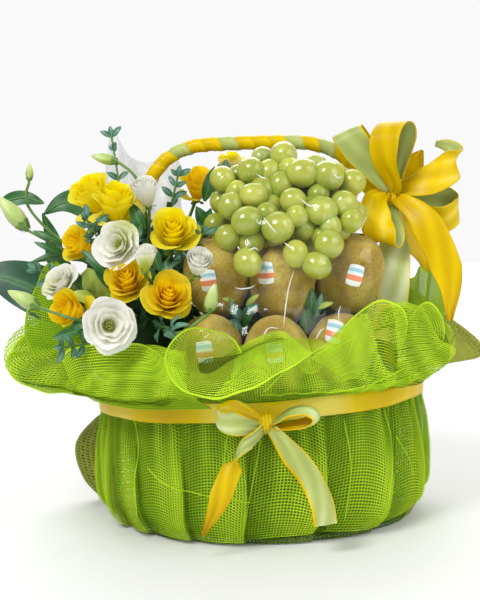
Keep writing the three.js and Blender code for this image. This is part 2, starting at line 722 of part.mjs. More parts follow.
function place(groupName, name, colour, solid, cutBy = placed, roughness = 0.6) {
  const fitted = clearOf(solid, cutBy);
  placed.push(fitted);
  const box = fitted.boundingBox();
  const middle = box.min.map((low, k) => Math.round((low + box.max[k]) / 2));
  const material = new THREE.MeshStandardMaterial({ color: colour, roughness, metalness: 0 });
  const mesh = new THREE.Mesh(toGeometry(fitted).translate(...middle.map((m) => -m)), material);
  mesh.name = name;
  mesh.position.fromArray(middle);
  groups[groupName] ??= new THREE.Group();
  groups[groupName].add(mesh);
  basket.add(groups[groupName]);
}

function buildHolder() {
  place("holder", "basket_tub", COLOURS.wicker, tub(), [], 0.8);
  place("holder", "handle", COLOURS.gold, handle(), [], 0.4);
  place("wrap", "mesh_front", COLOURS.lime, meshSheet(FRONT_COLLAR, frontSection), []);
  place("wrap", "mesh_back", COLOURS.olive, meshSheet(BACK_COLLAR, backSection), []);
  place("wrap", "waist_ribbon", COLOURS.gold, waistRibbon(), [], 0.35);
}

function buildBows() {
  place("front_bow", "front_bow_knot", COLOURS.gold, ellipsoid(FRONT_KNOT, 8, 5), placed, 0.35);
  for (const [name, strip] of Object.entries(FRONT_BOW)) {
    place("front_bow", `front_bow_${name}`, COLOURS.sage, ribbonStrip(strip, WAIST_RIBBON, 8), placed, 0.35);
  }
  place("handle_bow", "handle_bow_knot", COLOURS.gold, ellipsoid(HANDLE_KNOT, 8, 5), placed, 0.35);
  for (const [name, strip] of Object.entries(HANDLE_BOW)) {
    const colour = name.includes("sage") ? COLOURS.sage : COLOURS.gold;
    place("handle_bow", `handle_bow_${name}`, colour, ribbonStrip(strip, BOW_RIBBON, 8), placed, 0.35);
  }
}

function buildContents() {
  KIWIS.forEach((spec, i) => place("fruit", `kiwi_${i + 1}`, COLOURS.kiwi, kiwi(spec)));
  place("fruit", "grapes", COLOURS.grape, grapes(), placed, 0.3);
  ROSES.forEach((spec, i) => place("flowers", `rose_${i + 1}`, COLOURS.rose, flower(ROSE, spec, 8)));
  OPEN_LISIANTHUS.forEach((spec, i) =>
    place("flowers", `lisianthus_open_${i + 1}`, COLOURS.lisianthus, flower(LISIANTHUS, spec, 9)),
  );
  CLOSED_LISIANTHUS.forEach((spec, i) =>
    place("flowers", `lisianthus_closed_${i + 1}`, COLOURS.lisianthus, flower(CLOSED, spec, 8)),
  );
  BUDS.forEach((spec, i) => place("flowers", `bud_${i + 1}`, COLOURS.bud, bud(spec)));
  BROAD_LEAVES.forEach((spec, i) => place("foliage", `broad_leaf_${i + 1}`, COLOURS.leaf, leaf(spec, 7)));
  place("foliage", "tissue", COLOURS.tissue, tissue());
  place("foliage", "greenery", COLOURS.greenery, greenery());
}

buildHolder();
buildBows();
buildContents();

export default basket;
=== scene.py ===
# The looks of the fruit gift basket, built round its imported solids. Tables and sizes are in millimetres, in
# the solids' frame: +Z up, front at -Y, origin in the middle of the tub's underside.
import math

import bpy
import numpy as np
from mathutils import Matrix, Vector
from mathutils.bvhtree import BVHTree


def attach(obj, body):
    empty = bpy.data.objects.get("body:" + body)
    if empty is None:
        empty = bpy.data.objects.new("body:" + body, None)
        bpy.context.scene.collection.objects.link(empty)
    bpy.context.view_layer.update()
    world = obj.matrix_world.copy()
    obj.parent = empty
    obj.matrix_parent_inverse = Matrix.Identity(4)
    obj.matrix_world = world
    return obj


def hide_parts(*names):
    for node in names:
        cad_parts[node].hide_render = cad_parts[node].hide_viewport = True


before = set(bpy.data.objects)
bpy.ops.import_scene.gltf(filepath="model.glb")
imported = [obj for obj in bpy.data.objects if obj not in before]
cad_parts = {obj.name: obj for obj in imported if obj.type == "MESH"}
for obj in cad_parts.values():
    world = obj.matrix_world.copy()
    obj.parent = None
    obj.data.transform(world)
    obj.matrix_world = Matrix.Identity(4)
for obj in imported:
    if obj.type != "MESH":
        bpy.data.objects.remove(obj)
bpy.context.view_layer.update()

MM = 0.001
TINY = 1e-9  # the least length that is divided by
OVAL = 0.86  # front-to-back size of every ring, as a share of its width
GOLDEN_ANGLE = 137.5  # degrees from one ring of petals, or one tip of a flower's heart, to the next
SEEDS = dict(grapes=11, flowers=5, greenery=23)

# Holder
TUB = dict(foot=114, swell=126.4, swell_height=65, rim=134, height=108, wall=4)
WEAVE = dict(stakes=46, rows=22, steps=(5, 6), reach=1.4, ridge=1.1, inset=2.2)
PLAIT = dict(turns=38, reach=1.3, thick=2)
HANDLE = dict(centre=3, half=122, top=340, shoulder=170, foot_inset=10, rod=6.9, squares=(4.8, 3.8),
              crown=2.2)
HANDLE_FOOT = 110  # height at which the handle leaves the packing
WINDING = dict(length=15, start=0.3, sage=[16, 19, 23, 25])  # a turn's length, and which turns are sage

# Wrap: the waist and the skirt's section as the solids have them, the depth of its pleats, and how far its
# threads shear, sag, slide and lean in them
WAIST = dict(radius=146.6, height=114, slant=0.035, straight=12)
SKIRT = dict(hem=138, belly=150.5, belly_height=55, tall=122, pleat=9, shear=10, sag=16, slide=17, lean=10)
VALLEYS = [-30, -8, 14, 40, 62, 88, 112, 137, 160, 186, 206, 223, 243, 264, 290, 316, 338, 356]
PLEAT_CREST = 0.84  # share of a pleat's width at which it stands out most
FRONT_SPAN = (172, 355)  # degrees round the basket that the front sheet covers
BACK_SPAN = (-25, 205)
HOOP_PITCH = 2.45  # between the threads that run round the basket
CROSS_PITCH = 2.2  # and between those that cross them
PUFF_PITCH = (2.3, 2.8)  # the same across a puff and along it, where the net is pulled wider
# How high the front sheet's hem is lifted: degrees round the basket, and millimetres
HEM_LIFT = [(172, 7), (190, 5), (205, 3), (225, 4), (248, 2), (262, 3), (275, 7), (290, 9), (304, 5),
            (320, 6), (335, 11), (356, 15)]
NO_LIFT = [(0, 0), (1, 0)]
HEM_CLEAR = 0.8  # height of a hem that isn't lifted
SKIRT_THREADS = (0.34, 0.45)  # share of the pitch that cross threads and hoops of the skirt cover
COLLAR_THREADS = (0.2, 0.37)  # and those of the collar, which is a thinner layer
BACK_THREADS = (0.42, 0.6)  # and those of the denser back sheet
THIN_THREADS = (0.18, 0.32)  # and those of the two puffs that one sees through
DENSE_THREADS = (0.6, 0.6)  # and those of the second layers behind puffs
FILM_TRIM = (4, 7)  # rows of the film's grid cut off at its sides and its foot, where it falls steeply
EDGE_INSET = 1.2  # depth of the front sheet's right edge, which is folded under
EDGE_SPAN = (331, 356)  # degrees that it covers
SELVEDGE = 2  # edges of threads at a rim with no holes between them
LINING_INSET = 4.5  # depth of a second layer of the skirt
LINING_COARSE = 1.4  # how much wider its threads lie
BEHIND = 2.5  # how far behind a puff its second layer lies
COLLAR_CELLS = (264, 71)  # threads across the front collar and up it
COLLAR_OPENINGS = [(246, 264), (303, 314), (328, 343)]  # degrees where it is open behind a puff
TUCKED = [((172, 246), (100, 46)), ((312, 352), (58, 46))]  # degrees and threads of what is tucked under it
BACK_CELLS = [(220, 38), (213, 36)]  # threads of the back collar's two layers
PUFF_OPENING = 0.45  # share of the collar's section beyond which it is open behind a puff

# Front sheet: angle, then radius and height of its lip, of the dip behind it and of its inner crest
FRONT_COLLAR = [
    [172, 204, 180, 186, 186, 168, 184],
    [180, 227, 164, 200, 172, 168, 176],
    [188, 231, 146, 202, 158, 166, 170],
    [196, 222, 136, 196, 152, 164, 170],
    [204, 192, 131, 180, 150, 163, 168],
    [214, 198, 134, 181, 152, 163, 167],
    [227, 201, 132, 182, 154, 163, 168],
    [239, 194, 130, 180, 150, 163, 169],
    [248, 190, 134, 179, 142, 163, 166],
    [257, 186, 134, 175, 140, 163, 160],
    [267, 183, 138, 172, 152, 161, 176],
    [276, 182, 138, 170, 158, 160, 180],
    [285, 182, 135, 170, 148, 160, 164],
    [294, 182, 132, 171, 145, 160, 180],
    [306, 183, 133, 170, 149, 159, 193],
    [318, 186, 137, 171, 160, 160, 197],
    [330, 190, 150, 177, 164, 164, 193],
    [342, 180, 162, 174, 172, 163, 188],
    [355, 169, 170, 166, 176, 160, 178],
]

# Back sheet: angle, belly radius, then radius and height of its lip and of its inner crest
BACK_COLLAR = [
    [-25, 150.5, 143, 128, 140, 132],
    [-9, 150.5, 143, 128, 140, 132],
    [-4, 150.5, 144, 130, 141, 134],
    [1, 152, 196, 138, 166, 172],
    [7, 154, 214, 142, 168, 182],
    [16, 156, 208, 152, 172, 186],
    [32, 158, 190, 176, 164, 204],
    [58, 158, 184, 206, 160, 226],
    [90, 158, 180, 214, 158, 234],
    [124, 158, 182, 210, 160, 230],
    [146, 166, 192, 206, 168, 226],
    [157, 192, 206, 194, 184, 222],
    [163, 194, 198, 176, 176, 204],
    [168, 162, 156, 140, 150, 146],
    [171, 150.5, 143, 128, 140, 132],
    [180, 150.5, 143, 128, 140, 132],
    [205, 150.5, 143, 128, 140, 132],
]
BACK_INSET = 4.5

# Puffs that stand in front of the front sheet: the line of each one's rim and the line it is gathered to
PUFFS = [
    dict(
        rim=[(-148, 10, 168), (-174, 8, 179), (-197, 0, 180), (-217, -12, 169), (-228, -25, 152),
             (-222, -42, 138), (-196, -60, 127), (-161, -80, 126), (-134, -100, 127)],
        heart=[(-150, -30, 152), (-154, -38, 152), (-157, -46, 151), (-159, -52, 149), (-159, -58, 146),
               (-157, -66, 143), (-152, -76, 139), (-146, -88, 136), (-138, -100, 132)],
        hollow=(6, 10, 0),
    ),
    dict(
        rim=[(-171, -84, 158), (-160, -92, 168), (-136, -102, 172), (-109, -110, 173), (-89, -118, 168),
             (-72, -130, 155)],
        heart=[(-142, -98, 122), (-126, -107, 120), (-107, -116, 118), (-87, -124, 118), (-65, -131, 119),
               (-42, -136, 120)],
        hollow=(-3, -9, -2),
    ),
    dict(
        rim=[(-16, -146, 167), (-24, -146, 179), (-38, -146, 186), (-56, -147, 188), (-71, -150, 180),
             (-78, -157, 166), (-73, -163, 150), (-58, -167, 138), (-36, -168, 134), (-7, -166, 142),
             (23, -160, 157), (51, -148, 172)],
        heart=[(-42, -126, 156), (-44, -125, 158), (-47, -125, 159), (-50, -125, 158), (-52, -127, 156),
               (-52, -132, 152), (-49, -140, 150), (-41, -150, 152), (-25, -156, 162), (0, -154, 174),
               (24, -150, 178), (48, -145, 175)],
        hollow=(0, 6, 0),
    ),
    dict(
        rim=[(39, -146, 161), (56, -138, 172), (70, -128, 187), (86, -117, 199), (102, -108, 203),
             (117, -100, 197), (123, -96, 183), (120, -98, 168), (114, -104, 157)],
        heart=[(66, -142, 141), (73, -138, 142), (80, -134, 141), (87, -130, 139), (93, -126, 137),
               (99, -123, 136), (105, -120, 136), (109, -117, 137), (112, -114, 139)],
        hollow=(0, 9, 0),
    ),
    dict(
        rim=[(121, -92, 165), (125, -84, 181), (135, -74, 193), (148, -64, 196), (158, -56, 185),
             (162, -52, 168), (156, -54, 153), (138, -66, 141), (117, -82, 132)],
        heart=[(112, -112, 144), (114, -108, 148), (118, -102, 151), (122, -97, 151), (126, -93, 149),
               (129, -90, 146), (129, -88, 143), (124, -92, 139), (114, -100, 136)],
        hollow=(-4, 8, 0),
    ),
]
# The lobe of net that stands up behind the flowers at the left: its free edge and the line it rises from
LOBE = dict(
    rim=[(-205, -20, 152), (-212, -20, 170), (-211, -21, 188), (-206, -22, 204), (-199, -23, 219),
         (-193, -24, 231), (-187, -25, 237), (-180, -26, 239)],
    heart=[(-150, -26, 150), (-152, -27, 163), (-154, -28, 176), (-157, -29, 189), (-160, -30, 200),
           (-163, -30, 210), (-167, -30, 220), (-171, -30, 229)],
    hollow=(0, -5, 0),
)
# The lobe of net behind the bow's tails at the right
TAIL_LOBE = dict(
    rim=[(121, -40, 176), (123, -38, 198), (130, -30, 212), (138, -38, 216), (144, -32, 226),
         (150, -38, 220), (156, -32, 225), (162, -34, 212), (165, -34, 198), (166, -34, 184)],
    heart=[(126, -46, 166), (130, -45, 168), (134, -44, 170), (138, -43, 171), (142, -42, 172),
           (146, -40, 172), (150, -38, 172), (154, -36, 171), (158, -36, 169), (162, -36, 166)],
    hollow=(0, 5, 0),
)
# The throat of the curl at the middle, where one looks into it
THROAT = dict(
    rim=[(-53, -127, 155), (-45, -124, 159), (-32, -124, 162), (-14, -126, 170), (6, -128, 178)],
    heart=[(-51, -136, 150), (-41, -149, 152), (-25, -153, 161), (0, -151, 173), (20, -148, 177)],
    hollow=(0, 3, 0),
)
# Folded edges that lie on the skirt and on the collar: across and height in mm, as seen from the front
SKIRT_EDGES = [
    [(-99, 64), (-88, 55), (-71, 49), (-50, 45), (-31, 44), (-13, 40)],
    [(-29, 104), (-34, 67), (-33, 22)],
    [(-110, 106), (-107, 79), (-111, 53), (-110, 22)],
    [(-3, 92), (-10, 58), (-20, 14)],
    [(67, 104), (72, 64), (66, 18)],
    [(103, 108), (110, 73), (104, 22)],
    [(112, 86), (125, 63), (131, 46)],
]
COLLAR_EDGES = [
    [(-2, 131), (34, 133), (69, 134), (96, 139), (118, 146)],
    [(30, 158), (14, 148), (0, 136)],
]
EDGE_WIDTH = 1.1
# Folded edges are painted near the lit end of the nets' tint, which runs from painted shade to painted light.
EDGE_TINT = 0.82

WAIST_RIBBON = dict(width=16.5, lift=1.0, clear=1.1)
FRONT_BOW_WIDTH = 19
BOW_WIDTH = 28
RIBBON_THICK = 0.7
RIBBON_OPENS = 0.34  # share of a ribbon's length over which it opens out from its end

# Fruit
KIWI = dict(radius=28, length=70, blunt=0.85)
HAIR_STRETCH = (1, 1, 0.5)
KIWIS = [
    dict(at=(-37, -71, 223), lean=(-8, 12)),
    dict(at=(20, -76, 217), lean=(6, 16)),
    dict(at=(79, -68, 223), lean=(16, 10)),
    dict(at=(-45, -92, 161), lean=(20, 58)),
    dict(at=(13, -98, 159), lean=(-10, 62)),
    dict(at=(66, -79, 158), lean=(16, 58)),
]
GRAPES = [
    (24, -52, 326, 12.2), (6, -42, 325, 9.7), (-5, -62, 313, 11.8), (-29, -62, 307, 11.1),
    (20, -70, 300, 11.2), (39, -74, 310, 12.8), (61, -74, 307, 12.7), (82, -60, 301, 11.6),
    (-3, -84, 292, 11), (-23, -82, 284, 11.5), (30, -92, 286, 11.3), (53, -96, 278, 12.6),
    (73, -84, 282, 11.9), (-9, -98, 271, 12.5), (16, -104, 265, 13.7), (38, -90, 263, 10.1),
    (69, -80, 262, 10.2), (-26, -88, 257, 11.6), (58, -106, 250, 12.4), (30, -110, 243, 10.7),
    (-10, -108, 237, 11.8), (47, -112, 233, 11.4), (-37, -62, 267, 10), (84, -60, 274, 11),
]
GRAPE_TRIES = 420  # hidden grapes that are tried round each core
GRAPE_CORES = [((25, -49, 288), (62, 33, 36)), ((25, -84, 267), (62, 23, 22))]

# Creases of the film whose shine is painted on as white strips: across and height as seen from the front
FILM_GLINTS = [
    [(28, 230), (24, 217), (21, 202), (18, 184)],
    [(0, 174), (2, 179), (5, 183), (9, 184), (14, 183)],
    [(-21, 216), (-15, 215), (-8, 216), (-4, 218)],
    [(45, 172), (48, 177), (53, 181)],
    [(67, 198), (65, 192), (65, 186)],
    [(4, 274), (9, 267), (14, 261)],
    [(20, 253), (24, 250), (27, 247)],
    [(35, 288), (43, 282), (48, 283)],
    [(0, 310), (4, 307), (8, 306)],
    [(-9, 247), (-4, 249), (-1, 247)],
    [(64, 308), (68, 305), (72, 306)],
    [(86, 259), (91, 267), (95, 274)],
]
GLINT_WIDTH = 1.15
# Film: its grid as seen from the front, where it ends beside the fruit and by how many cells it passes that
FILM = dict(wide=(-67, 101), tall=(128, 336), cells=(106, 131), back=-18, margin=5, rounds=420)

# Petals in rings from the outside in: count, width in degrees, reach, top, curl, ruffle and base height
ROSE_WHORLS = [
    (3, 64, 0.88, 0.14, 0.22, 0.03, -0.95),
    (3, 66, 0.8, 0.38, 0.2, 0.03, -0.95),
    (4, 60, 0.68, 0.56, 0.15, 0.02, -0.9),
    (3, 82, 0.52, 0.7, 0.1, 0.015, -0.8),
    (3, 82, 0.36, 0.78, 0.06, 0.01, -0.6),
    (3, 84, 0.24, 0.82, 0.03, 0.01, -0.4),
    (2, 120, 0.13, 0.8, 0.0, 0.0, -0.3),
]
CUP_WHORLS = [
    (2, 66, 0.98, -0.1, 0.34, 0.03, -0.95),
    (3, 70, 0.82, 0.62, 0.2, 0.03, -0.95),
    (3, 74, 0.68, 0.82, 0.12, 0.02, -0.9),
    (3, 80, 0.5, 0.9, 0.08, 0.015, -0.8),
    (3, 82, 0.34, 0.94, 0.04, 0.01, -0.6),
    (2, 120, 0.16, 0.92, 0.0, 0.0, -0.3),
]
CUP_ROSES = (1, 2, 4, 5, 8)
WARM_ROSES = (4, 5, 6, 7, 8)
OPEN_WHORLS = [
    (4, 62, 0.94, 0.1, 0.12, 0.05, -0.6),
    (4, 60, 0.78, 0.26, 0.08, 0.06, -0.55),
    (4, 60, 0.58, 0.34, 0.05, 0.06, -0.5),
    (3, 70, 0.4, 0.3, 0.02, 0.05, -0.45),
]
CLOSED_WHORLS = [
    (3, 78, 0.98, 0.66, -0.02, 0.02, -1.2),
    (3, 84, 0.84, 0.88, -0.04, 0.02, -1.1),
    (3, 84, 0.62, 1.0, -0.06, 0.015, -1.0),
    (3, 88, 0.42, 1.06, -0.06, 0.01, -0.9),
    (2, 120, 0.22, 1.06, 0.0, 0.01, -0.8),
]

# Flowers: middle of the head, radius, way it faces, foot of a long stem, and the way that its green side lies
ROSES = [
    dict(at=(-146, -22, 294), radius=21, faces=(-0.45, -0.45, 0.8)),
    dict(at=(-122, -52, 286), radius=22, faces=(0.08, -0.48, 0.9)),
    dict(at=(-72, -86, 264), radius=22, faces=(0.05, -0.8, 0.6)),
    dict(at=(-154, -53, 253), radius=18, faces=(-0.6, -0.7, 0.35)),
    dict(at=(-160, -92, 199), radius=18, faces=(-0.5, -0.8, 0.3)),
    dict(at=(-112, -92, 224), radius=20, faces=(-0.1, -0.8, 0.6)),
    dict(at=(-76, -112, 211), radius=22, faces=(0.15, -0.85, 0.5)),
    dict(at=(-52, -24, 303), radius=17, faces=(0.15, -0.6, 0.8), root=(-80, -12, 236)),
    dict(at=(-22, 36, 322), radius=15, faces=(0.1, 0.2, 1), root=(-6, 22, 216)),
]
OPEN_LISIANTHUS = [
    dict(at=(-123, -134, 190), radius=23, faces=(0.22, -0.95, 0.15)),
    dict(at=(-119, -92, 254), radius=20.5, faces=(-0.35, -0.85, 0.3), green=(0.3, 0, 0.75)),
    dict(at=(-173, -68, 223), radius=18, faces=(-0.5, -0.6, 0.6), green=(-0.8, 0, -0.1)),
]
CLOSED_LISIANTHUS = [
    dict(at=(-96, -64, 297), radius=12.5, faces=(-0.15, -0.5, 0.9), root=(-100, -36, 238)),
    dict(
        at=(-94, -117, 243),
        radius=10.5,
        faces=(0.05, -0.3, 1),
        root=(-82, -58, 214),
        green=(0.1, -0.8, -0.5),
    ),
    dict(at=(-50, -122, 238), radius=12, faces=(0.25, -0.8, 0.75), root=(-80, -50, 200)),
]
BUDS = [
    dict(stem=[(-96, -22, 256), (-104, -34, 306), (-122, -32, 325)], tip=(-146, -32, 331), radius=4.6),
    dict(
        stem=[(-138, -6, 226), (-186, -6, 262), (-208, -8, 290), (-205, -8, 310)],
        tip=(-204, -8, 327),
        radius=3.4,
    ),
    dict(stem=[(-138, -22, 226), (-180, -26, 252), (-205, -24, 266)], tip=(-232, -22, 298), radius=7.5),
    dict(stem=[(-128, -50, 180), (-154, -112, 194), (-184, -102, 203)], tip=(-212, -96, 218), radius=6),
    dict(
        stem=[(-86, -50, 180), (-78, -100, 180), (-64, -126, 183), (-43, -129, 197)],
        tip=(-37, -132, 222),
        radius=5.5,
    ),
]
BROAD_LEAVES = [
    dict(
        course=[(-140, -4, 180), (-178, -12, 198), (-212, -12, 216), (-238, -10, 224), (-258, -8, 214)],
        width=46,
        faces=(0.15, -1, 0.35),
    ),
    dict(
        course=[(-236, -9, 289), (-221, -9, 294), (-208, -9, 295), (-192, -10, 290)],
        width=14,
        faces=(0, -1, 0.3),
    ),
    dict(
        course=[(-112, 0, 250), (-134, 8, 272), (-158, 11, 288), (-178, 10, 290), (-196, 10, 280)],
        width=28,
        faces=(0.1, -1, 0.3),
    ),
    dict(
        course=[(-138, 0, 200), (-166, 2, 214), (-184, 4, 236), (-188, 4, 258), (-196, 3, 281)],
        width=19,
        faces=(0, -1, 0.1),
    ),
    dict(
        course=[(-132, -8, 226), (-152, -11, 239), (-178, -14, 243), (-206, -17, 237)],
        width=12,
        faces=(0, -1, 0.4),
    ),
]
TISSUE = dict(
    top=[(-141, 36, 318), (-137, 36, 342), (-132, 36, 357), (-126, 36, 347), (-117, 36, 332),
         (-102, 36, 326), (-86, 36, 329), (-70, 36, 326)],
    foot=[(-136, 34, 240), (-128, 34, 240), (-118, 34, 240), (-110, 34, 240), (-102, 34, 240),
          (-92, 34, 240), (-82, 34, 240), (-70, 34, 240)],
)
# Masses of packed foliage: middle, half sizes and how many leaves stand out of each
FOLIAGE = [
    ((-106, -20, 196), (46, 48, 72), 300),
    ((30, 10, 184), (72, 44, 58), 120),
    ((30, 34, 220), (64, 19, 38), 90),
]
BED_HEIGHT = 138
BED_LEAVES = 170
BED = [(1, BED_HEIGHT), (80, BED_HEIGHT), (122, BED_HEIGHT - 3), (128, 108), (120, 60), (108, 8)]
STEM_HUB = np.array([-106, -20, 190])  # where the stems without a root of their own head for
LEAF = dict(fold=0.16, wave=0.06, point=0.8)
FREE_SPACES = [[(-38, -13, 240), (50, 13, 334)], [(-64, 52, 146), (88, 112, 226)]]
SPRIGS = [
    dict(foot=(-118, 0, 256), tip=(-130, 0, 350), pairs=5, leaf=17),
    dict(foot=(-130, -40, 240), tip=(-146, -80, 276), pairs=4, leaf=18),
    dict(foot=(-110, -50, 170), tip=(-164, -124, 172), pairs=5, leaf=19),
    dict(foot=(-94, -50, 180), tip=(-72, -132, 186), pairs=6, leaf=18),
    dict(foot=(-86, -30, 246), tip=(-68, -46, 312), pairs=5, leaf=17),
    dict(foot=(-74, -40, 210), tip=(-46, -92, 262), pairs=4, leaf=18),
    dict(foot=(-140, -30, 200), tip=(-194, -44, 232), pairs=3, leaf=22),
]

# Single leaves among the flowers and between the kiwis: kind, foot, tip and width
SINGLE_LEAVES = [
    (2, (-130, -52, 280), (-137, -58, 252), 11), (0, (-149, -58, 262), (-128, -60, 279), 8),
    (2, (-109, -56, 288), (-99, -60, 260), 12), (2, (-151, -74, 249), (-125, -78, 223), 10),
    (2, (-140, -72, 240), (-127, -78, 215), 11), (0, (-124, -76, 238), (-119, -78, 223), 9),
    (4, (-140, -64, 208), (-147, -72, 234), 20), (4, (-132, -66, 206), (-136, -74, 232), 15),
    (4, (-140, -76, 204), (-160, -80, 214), 11), (2, (-101, -78, 238), (-87, -82, 212), 12),
    (2, (-94, -76, 254), (-84, -82, 229), 11), (0, (-80, -78, 238), (-76, -84, 219), 10),
    (2, (-174, -30, 254), (-200, -30, 266), 6), (2, (-176, -30, 244), (-199, -32, 256), 6),
    (2, (-146, -104, 194), (-159, -108, 182), 9), (2, (-148, -106, 184), (-174, -110, 178), 8),
    (2, (-52, -50, 250), (-40, -60, 282), 13), (2, (-44, -50, 262), (-53, -58, 284), 12),
    (0, (-40, -54, 262), (-56, -60, 268), 10), (2, (-46, -46, 288), (-36, -54, 318), 11),
    (2, (-110, -54, 224), (-130, -58, 239), 12), (2, (-129, -52, 224), (-116, -56, 248), 12),
    (2, (-148, -46, 224), (-137, -52, 250), 13), (2, (-152, -42, 242), (-126, -48, 236), 12),
    (2, (-98, -56, 216), (-120, -64, 204), 13), (2, (-120, -60, 216), (-134, -66, 196), 12),
    (2, (-100, -64, 270), (-112, -66, 248), 10), (2, (-128, -60, 258), (-116, -64, 240), 12),
    (2, (40, -72, 168), (44, -94, 214), 12), (2, (38, -76, 166), (37, -98, 196), 13),
    (0, (47, -88, 188), (52, -96, 209), 7), (4, (48, -92, 196), (61, -100, 201), 5),
    (0, (-16, -90, 178), (-26, -102, 207), 7), (0, (-15, -92, 190), (-2, -104, 202), 9),
    (0, (-15, -92, 192), (-27, -104, 197), 9), (4, (-12, -94, 200), (-1, -104, 210), 5),
    (0, (-16, -92, 180), (-28, -104, 188), 9), (2, (-16, -92, 182), (-8, -104, 196), 8),
    (2, (-30, 8, 306), (-26, 20, 326), 10), (2, (-24, 8, 302), (-34, 16, 322), 9),
    (0, (-18, -96, 172), (-22, -106, 188), 9), (4, (-22, -96, 204), (-32, -104, 207), 4),
]

# Bows: each strip's course, the way its width lies at start and end, how narrow its ends are, where it turns
# over, and on which side it is sage
FRONT_KNOT = ((2, -138, 107), (7.5, 6, 8.5))
FRONT_BOW = dict(
    loop_left=dict(
        course=[(-7, -144, 106), (-20, -151, 108), (-33, -153, 112), (-38, -149, 117), (-28, -145, 121),
                (-7, -140, 112)],
        across=[(0.1, 0.25, 1), (0.25, 0.3, 1)],
        taper=(0.35, 0.35),
    ),
    loop_right=dict(
        course=[(11, -143, 110), (23, -144, 118), (37, -145, 120), (44, -145, 114), (37, -145, 108),
                (11, -143, 104)],
        across=[(0, 1, 0.25), (0, 1, 0.25)],
        taper=(0.35, 0.35),
        flip=True,
    ),
    tail_left=dict(
        course=[(-6, -147, 100), (-18, -153, 90), (-30, -155, 68), (-40, -156, 44), (-52, -155, 20)],
        across=[(0.5, 0.7, -0.5), (1, 0, 0.1)],
        taper=(0.4, 0.15),
        turn=0.3,
        flip=True,
    ),
    tail_right=dict(
        course=[(9, -147, 100), (20, -153, 86), (34, -155, 68), (44, -156, 46), (47, -155, 27)],
        across=[(0.75, 0, 0.6), (1, 0, 0)],
        taper=(0.4, 1),
        rim=2,
        flip=True,
    ),
)
HANDLE_KNOT = ((121, -18, 286), (7, 8, 9))
HANDLE_BOW = dict(
    loop_sage=dict(
        course=[(116, -28, 297), (100, -30, 318), (83, -29, 342), (82, -19, 349), (92, -13, 336),
                (111, -13, 299)],
        across=[(0.9, -0.25, 0.35), (0.9, -0.25, 0.35)],
        taper=(0.35, 0.35),
    ),
    loop_gold=dict(
        course=[(122, -32, 298), (112, -45, 320), (113, -46, 343), (123, -34, 355), (132, -22, 345),
                (125, -17, 298)],
        across=[(0.85, -0.5, 0), (0.8, -0.6, 0)],
        taper=(0.35, 0.25),
        flip=True,
    ),
    loop_low=dict(
        course=[(113, -26, 291), (104, -40, 284), (104, -52, 262), (112, -50, 249), (119, -38, 262),
                (117, -28, 277)],
        across=[(0.9, -0.1, -0.4), (0.9, -0.1, -0.4)],
        taper=(0.35, 0.35),
    ),
    curl=dict(
        course=[(130, -22, 294), (147, -30, 299), (165, -29, 307), (178, -20, 318), (177, -8, 331),
                (164, -5, 335)],
        across=[(0.2, 0.3, 0.9), (0.3, 0.4, 0.85)],
        taper=(0.35, 0.2),
    ),
    point=dict(
        course=[(129, -10, 300), (139, -7, 312), (152, -5, 329)],
        across=[(0.75, -0.4, -0.5), (0.7, -0.5, -0.5)],
        taper=(0.45, 0.1),
        flip=True,
    ),
    loop_side=dict(
        course=[(131, -10, 286), (153, -2, 283), (174, 0, 284), (185, -8, 275), (172, -17, 266),
                (154, -15, 270)],
        across=[(-0.15, -0.5, 0.85), (-0.15, -0.5, 0.85)],
        taper=(0.3, 0.4),
        flip=True,
    ),
    tail_gold=dict(
        course=[(128, -30, 284), (143, -43, 271), (156, -50, 247), (167, -52, 213), (167, -51, 178)],
        across=[(0.8, -0.2, 0.55), (0.95, 0.2, 0.1)],
        taper=(0.35, 0.2),
    ),
    tail_sage=dict(
        course=[(122, -20, 272), (122, -27, 248), (120, -42, 222), (116, -48, 192), (108, -50, 162)],
        across=[(1, -0.1, 0), (1, -0.1, 0.1)],
        taper=(0.4, 0.9),
        rim=2,
        flip=True,
        gold_from=0.72,
        # painted light that lifts this tail's colour where the loops shade it
        painted_lift=0.4,
    ),
    tail_thin=dict(
        course=[(129, -12, 276), (139, -14, 255), (149, -18, 235), (152, -20, 219)],
        across=[(0.8, 0.5, 0.2), (0.8, 0.5, 0.2)],
        taper=(0.3, 0.2),
    ),
)

# Labels on the kiwis: across, height and tilt in degrees, as seen from the front
LABELS = [(-43, 222, 6), (5, 227, 4), (80, 223, -16), (-47, 165, 6), (10, 164, 8), (61, 177, -14)]
LABEL_SIZE = (13.5, 18.5)
LABEL_CLEAR = 0.3

# Stage, in metres and degrees
CAMERA = (-0.017, -1.090, 0.290)
PITCH = -4.9
ROLL = 1.5
LENS = 71.28
# Name, place, what it looks at, power and size
LIGHTS = [
    ("key", (-0.7, -1.1, 1.3), (0, 0, 0.18), 18, 0.6),
    ("fill", (1.0, -0.8, 0.9), (0, 0, 0.18), 8, 1.0),
    ("backdrop", (0, 2.6, 2.2), (0, 2.2, 0), 76, 3.0),
]


# Numbers
def clamp(x):
    """Held between 0 and 1."""
    return np.clip(x, 0, 1)


def ease(t):
    return t * t * (3 - 2 * t)


def wave(degrees):
    return np.sin(np.radians(degrees))


def unit(v):
    v = np.asarray(v, float)
    return v / max(np.linalg.norm(v), TINY)


def units(rows):
    """Every row of a table, made one long."""
    return rows / np.maximum(np.linalg.norm(rows, axis=1, keepdims=True), TINY)


def linear(text):
    """A hex colour as linear red, green and blue."""
    values = [int(text[i : i + 2], 16) / 255 for i in (1, 3, 5)]
    return tuple(v / 12.92 if v <= 0.04045 else ((v + 0.055) / 1.055) ** 2.4 for v in values)


def smoothed(values, reach):
    """The running mean over so many neighbours on either side."""
    width = 2 * reach + 1
    return np.convolve(np.pad(values, reach, mode="edge"), np.ones(width) / width, mode="valid")


def read_off(places, own_places, curve):
    """A curve's points at the given places."""
    return np.stack([np.interp(places, own_places, column) for column in curve.T], -1)


